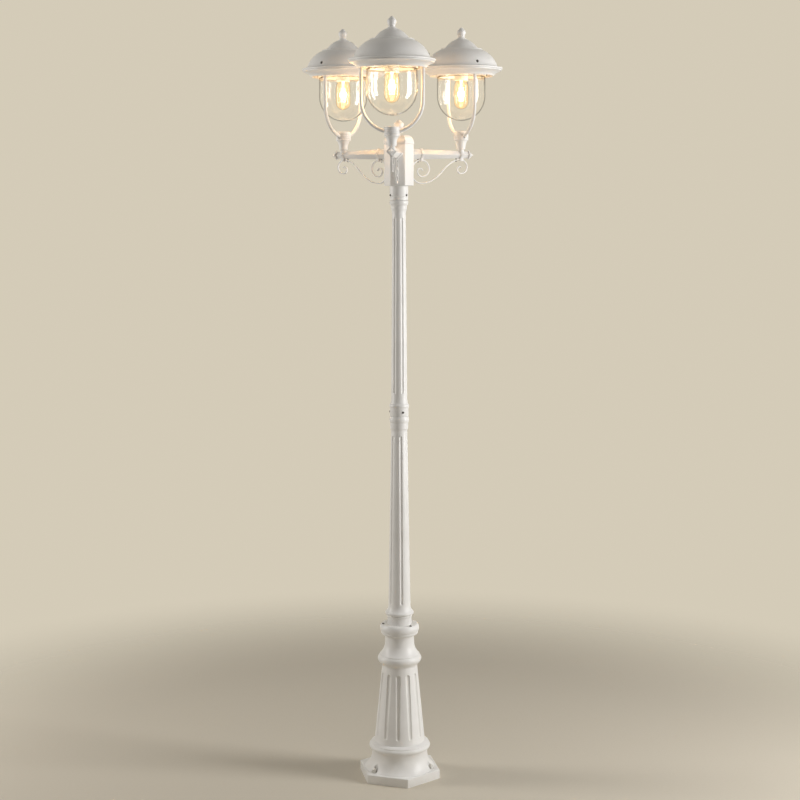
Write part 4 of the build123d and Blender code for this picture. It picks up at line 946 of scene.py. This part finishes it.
def makeRoofs():
    r, rim = roofSet, heights["rim"] + 0.1
    lip, dome, step, upper, wall, stud = r["lip"], r["dome"], r["step"], r["upper"], r["wall"], r["stud"]
    lipZ, domeZ = rim + r["lipHeight"], rim + r["lipHeight"] + 3
    stepZ = domeZ + r["domeHeight"]
    upperZ = stepZ + r["stepHeight"]
    top = upperZ + r["upperHeight"]
    shape = soften(spun(outline(
        (dome - 1.4, rim), (lip - 1.2, rim), (lip - 0.3, rim + 1.0, -0.3), (lip, rim + 3.2, -0.35),
        (lip - 2.2, lipZ - 0.1, -0.9), (dome + 2, domeZ - 0.9, 0.5), (dome, domeZ + 0.3, 0.3),
        (step, stepZ, -6.5), (step - 1.6, stepZ + 1), (step - 2.8, stepZ + 3.2),
        (step - 5.2, stepZ + 4.2, -0.5), (upper + 0.8, upperZ - 0.4, 0.6), (upper, upperZ + 0.4, 0.2),
        (r["crown"], top, -2.5), (stud, top), (stud, top - wall), (r["crown"] - 1, top - wall),
        (upper - 1.5, upperZ - wall, 2.5), (step - 5.9, stepZ + 1.5), (step - 1.9, stepZ - 1.9),
        (dome - 2.6, domeZ - 1.5, 6.5)), r["around"]), r["soft"], 24)
    screwZ = heights["rim"] + r["screwUp"]
    for turn in (-90, 90):
        recess = gathered(pin(screwSet["roof"]["head"] + 0.2, r["screwSeat"], 121, 40),
                          pin(screwSet["roof"]["shank"] + 0.2, 84, 100, 24))
        shape = carved(shape, turnedBy(outward(recess, screwZ), turn))
    threeTimes("Roof", shifted(shape, lanternReach), "spun_paint", "*_roof", "roof")
    screw = shifted(domedScrew("roof", r["screwSeat"] - r["screwIn"]), 0, 0, r["screwSeat"])
    screw = outward(screw, screwZ)
    screws = gathered(turnedBy(screw.copy(), -90), turnedBy(screw, 90))
    threeTimes("RoofScrews", shifted(screws, lanternReach), "dark_screw", "*_roof", "roof_screws")


for make in (makePedestal, makeAnchors, makeSetScrews, makeLowerMast, makeUpperMast, makeHub, makeHubCap,
             makeFinials, makeArms, makeScrolls, makeClips, makeStems, makeStirrups, makeGalleries,
             makeGlobes, makeHolders, makeBulbs, makeFilaments, makeRoofs):
    make()
    print("made", make.__name__[4:])

# stage
stageSet = {"radius": 2.6, "fadeFrom": 1.05, "fadeTo": 2.3, "floor": (0.66, 0.60, 0.495), "rough": 0.75,
            "air": (0.66, 0.60, 0.48), "fill": (0.29, 0.14), "fillColour": (1.0, 0.97, 0.92)}


def floorFinish():
    # matt and slightly mottled, and it fades out into the air around it
    material, tree, place = freshMaterial("paleFloor")
    grain = noise(tree, place, 140.0, 4.0)
    tint = blendColours(tree, grain, [c * 0.93 for c in stageSet["floor"]], stageSet["floor"])
    shader = addNode(tree, "ShaderNodeBsdfPrincipled", Base_Color=tint.outputs["Color"],
                     Roughness=stageSet["rough"])
    away = addNode(tree, "ShaderNodeVectorMath", {"operation": "LENGTH"})
    tree.links.new(place, away.inputs[0])
    fade = addNode(tree, "ShaderNodeMapRange", {"interpolation_type": "SMOOTHSTEP"},
                   Value=away.outputs["Value"], From_Min=stageSet["fadeFrom"], From_Max=stageSet["fadeTo"])
    shown(tree, mixed(tree, fade.outputs["Result"], shader, addNode(tree, "ShaderNodeBsdfTransparent")))
    return material


def makeFloor():
    bm = bmesh.new()
    bmesh.ops.create_circle(bm, cap_ends=True, segments=96, radius=stageSet["radius"])
    mesh = bpy.data.meshes.new("floor")
    bm.to_mesh(mesh)
    bm.free()
    floor = bpy.data.objects.new("floor", mesh)
    mesh.materials.append(floorFinish())
    bpy.context.scene.collection.objects.link(floor)


def highest(tree, first, second):
    node = addNode(tree, "ShaderNodeMath", {"operation": "MAXIMUM"})
    tree.links.new(first, node.inputs[0])
    tree.links.new(second, node.inputs[1])
    return node.outputs["Value"]


def makeAir():
    # what the camera, glass and gloss see is one plain colour; everything else gets a weak fill light
    world = bpy.data.worlds.new("studioAir")
    bpy.context.scene.world = world
    world.use_nodes = True
    tree = world.node_tree
    tree.nodes.clear()
    rays = addNode(tree, "ShaderNodeLightPath").outputs
    seen = highest(tree, rays["Is Camera Ray"],
                   highest(tree, rays["Is Transmission Ray"], rays["Is Glossy Ray"]))
    # the fill is weaker from above than from the sides
    place = addNode(tree, "ShaderNodeTexCoord").outputs["Generated"]
    way = addNode(tree, "ShaderNodeSeparateXYZ", Vector=place)
    strength = addNode(tree, "ShaderNodeMapRange", Value=way.outputs["Z"], From_Min=-0.1, From_Max=0.8,
                       To_Min=stageSet["fill"][0], To_Max=stageSet["fill"][1])
    plain = addNode(tree, "ShaderNodeBackground", Color=(*stageSet["air"], 1), Strength=1.0)
    fill = addNode(tree, "ShaderNodeBackground", Color=(*stageSet["fillColour"], 1),
                   Strength=strength.outputs["Result"])
    air = mixed(tree, seen, fill, plain)
    tree.links.new(air.outputs[0], addNode(tree, "ShaderNodeOutputWorld").inputs["Surface"])


# azimuths are from the camera's side, to the right seen from it; lengths are in metres
softboxes = {
    "rightBox": {"azimuth": 78, "distance": 2.3, "height": 1.65, "size": (0.7, 2.5), "watts": 54,
                 "colour": (1.0, 1.0, 1.0), "aimHeight": 1.2},
    "leftBox": {"azimuth": -96, "distance": 2.4, "height": 1.65, "size": (0.6, 2.3), "watts": 30,
                "colour": (1.0, 0.98, 0.95), "aimHeight": 1.1},
    "topBox": {"azimuth": 10, "distance": 2.2, "height": 4.2, "size": (2.0, 2.0), "watts": 10,
               "colour": (1.0, 0.98, 0.95), "aimHeight": 1.0},
}
bulbGlow = {"watts": 0.55, "colour": (1.0, 0.66, 0.36), "size": 0.012, "height": 2.012}


def addLamp(name, kind, look, place):
    light = bpy.data.lights.new(name, kind)
    light.energy = look["watts"]
    light.color = look["colour"]
    lamp = bpy.data.objects.new(name, light)
    lamp.location = place
    bpy.context.scene.collection.objects.link(lamp)
    return lamp


def makeSoftboxes():
    for name, box in softboxes.items():
        turn, out = math.radians(box["azimuth"] + cameraSet["turn"]), box["distance"]
        lamp = addLamp(name, "AREA", box, (math.sin(turn) * out, -math.cos(turn) * out, box["height"]))
        lamp.data.shape = "RECTANGLE"
        lamp.data.size, lamp.data.size_y = box["size"]
        towards = Vector((0, 0, box["aimHeight"])) - lamp.location
        lamp.rotation_euler = towards.to_track_quat("-Z", "Y").to_euler()


def makeBulbGlow():
    # each lit bulb's light, which moves with the bulb
    for side, angle in sides.items():
        turn, reach = math.radians(angle), lanternReach / 1000
        place = math.cos(turn) * reach, math.sin(turn) * reach, bulbGlow["height"]
        lamp = addLamp(side + "Glow", "POINT", bulbGlow, place)
        lamp.data.shadow_soft_size = bulbGlow["size"]
        lamp.parent = frame["bodies"][side + "_bulb"]


makeFloor()
makeAir()
makeSoftboxes()
makeBulbGlow()
print("stage and lights made")
